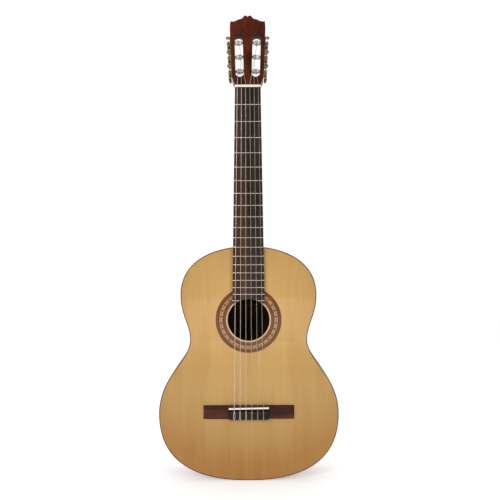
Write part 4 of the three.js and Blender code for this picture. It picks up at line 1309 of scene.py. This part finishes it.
def tie_points(i):
    """A string round the tie block: its tucked end, a loop over the block and back, then into the hole."""
    x, r = string_x(SADDLE_SPACING, i), STRING_R[i]
    top = BRIDGE_TOP - r - 0.03
    low, high = TIE_LOW, TIE_HIGH
    middle = (low + high) / 2
    spread = 0.55 + r if i < 3 else 0.1 + r
    bulge = 0.3 if i < 3 else 0  # the wound strings' loops stand open, the nylon ones lie close
    return [
        (x + 0.2, top - 2 * r, low + 3.2),
        (x - 0.1, top - 1.6 * r, low + 1.2),
        (x + 0.35, top, low + 0.6),
        (x + spread, top, low + 3.5),
        (x + spread + bulge, top, middle),
        (x + spread, top, high - 3.4),
        (x + 0.7, top, high - 0.4),
        (x + 0.45, top + 1.4, high + 0.9 + r),
        (x - 0.45, top + 1.4, high + 0.9 + r),
        (x - 0.7, top, high - 0.4),
        (x - spread, top, high - 3.4),
        (x - spread - bulge, top, middle),
        (x - spread, top, low + 3.5),
        (x - 0.2, top, low + 0.4),
        (x, top + 0.6, low - 0.6 - r),
        (x, (top + TIE_HOLE_Y) / 2, low - 0.9 - r),
        (x, TIE_HOLE_Y - 0.5, low - 0.6 - r),
        (x, TIE_HOLE_Y, low + 0.4),
    ]


def string_path(i):
    """A string from its tie through the hole, over the saddle and the nut, and on to its roller."""
    x, nut_x = string_x(SADDLE_SPACING, i), string_x(NUT_SPACING, i)
    saddle_z = SADDLE_Z - x * math.tan(SADDLE_SLANT)
    saddle_y = SADDLE_TOP - STRING_R[i] - 0.02
    run = [(x, TIE_HOLE_Y, TIE_HIGH - 1), (x, TIE_HOLE_Y, TIE_HIGH + 0.2)]
    run += [(x, TIE_HOLE_Y - 0.5, TIE_HIGH + 0.9), (x, saddle_y + 1.2, saddle_z - 1.9)]
    run += [(x, saddle_y + 0.25, saddle_z - 0.7), (x, saddle_y, saddle_z)]
    nut_y = nut_string_y(i)
    steps = 40
    for k in range(1, steps):
        t = k / steps
        run.append((mix(x, nut_x, t), mix(saddle_y, nut_y, t), mix(saddle_z, NUT_FRONT, t)))
    run += [(nut_x, nut_y, NUT_FRONT), (nut_x, nut_y + NUT_FALL * 2.5, NUT_FRONT + 2.5)]
    leave = Vector((nut_x, nut_y + NUT_FALL * NUT_THICK, NUT_FRONT + NUT_THICK))
    axis, angle, reach = roller_axis(i), coil_start_angle(i), coil_radius(i)
    touch = HEAD @ (axis + Vector((0, -reach * math.cos(angle), reach * math.sin(angle))))
    run += [tuple(leave.lerp(touch, t)) for t in (0, 0.25, 0.5, 0.75, 1)]
    return rounded(tie_points(i), 4) + run


def make_strings():
    for i, radius in enumerate(STRING_R):
        number = 6 - i
        mesh = tube(string_path(i), radius, 12)
        finish_piece(mesh, f"string_{number}_run", *string_finish(i), replaces=[f"string_{number}"], sharp=80)


# ---------------------------------------------------------------- studio


def make_camera(scene):
    camera_data = bpy.data.cameras.new("camera")
    camera_data.lens = 42.5
    camera_data.sensor_width = 36
    camera = bpy.data.objects.new("camera", camera_data)
    camera.location = (3.4 * MM, (FRONT - CAMERA_AWAY) * MM, 468.5 * MM)
    camera.rotation_euler = (math.radians(90), math.radians(0.2), 0)
    scene.collection.objects.link(camera)
    scene.camera = camera


def make_floor(scene):
    material, tree, shader = new_material("studio_floor", Roughness=0.9, Specular_IOR_Level=0.1)
    speckle = noise(tree, place_coords(tree), scale=30.0, detail=3)
    pale = ramp(tree, speckle, (0.3, (0.93, 0.93, 0.93, 1)), (0.7, (0.95, 0.95, 0.95, 1)))
    tree.links.new(pale, shader.inputs["Base Color"])
    shader.inputs["Emission Color"].default_value = (1, 1, 1, 1)
    shader.inputs["Emission Strength"].default_value = 0.35
    disc = [(x, y, 0) for x, y in circle_loop(FLOOR_R, (0, 0), 96)]
    floor = from_faces(disc, [tuple(range(len(disc)))])
    floor.transform(Matrix.Scale(MM, 4))
    floor.materials.append(material)
    ground = bpy.data.objects.new("floor", floor)
    scene.collection.objects.link(ground)


def make_sky(scene):
    """White light from the camera's side, dimmer from behind the guitar."""
    world = bpy.data.worlds.new("studio")
    scene.world = world
    world.use_nodes = True
    tree = world.node_tree
    facing = separate(tree, coordinates(tree, "Generated"))[1]
    sky = ramp(tree, map_range(tree, facing, -0.35, 0.15), (0.0, (0.2, 0.2, 0.205, 1)), (1.0, WHITE_STOP))
    tree.links.new(sky, tree.nodes["Background"].inputs["Color"])
    tree.nodes["Background"].inputs["Strength"].default_value = 1.02


def make_light(scene, name, place, size, power):
    lamp = bpy.data.lights.new(name, "AREA")
    lamp.size = size
    lamp.energy = power
    light = bpy.data.objects.new(name, lamp)
    light.location = place
    aim = Vector((0, 0, 0.5)) - light.location
    light.rotation_euler = aim.to_track_quat("-Z", "Y").to_euler()
    scene.collection.objects.link(light)


def make_studio():
    scene = bpy.context.scene
    scene.view_settings.view_transform = "Standard"
    make_camera(scene)
    make_floor(scene)
    make_sky(scene)
    make_light(scene, "key", (-1.5, -2.3, 1.5), 1.1, 33)
    make_light(scene, "fill", (1.6, -2.1, 1.3), 1.1, 22)


make_studio()
make_top()
make_back()
make_bindings()
make_ribs()
dress_kept_solids()
make_rosette()
make_bridge()
make_saddle()
make_nut()
make_fingerboard()
make_neck()
make_heel_cap()
make_head_face()
for row in ROWS:
    make_tuner_plate(*row)
for string in range(6):
    make_tuner(string)
make_strings()
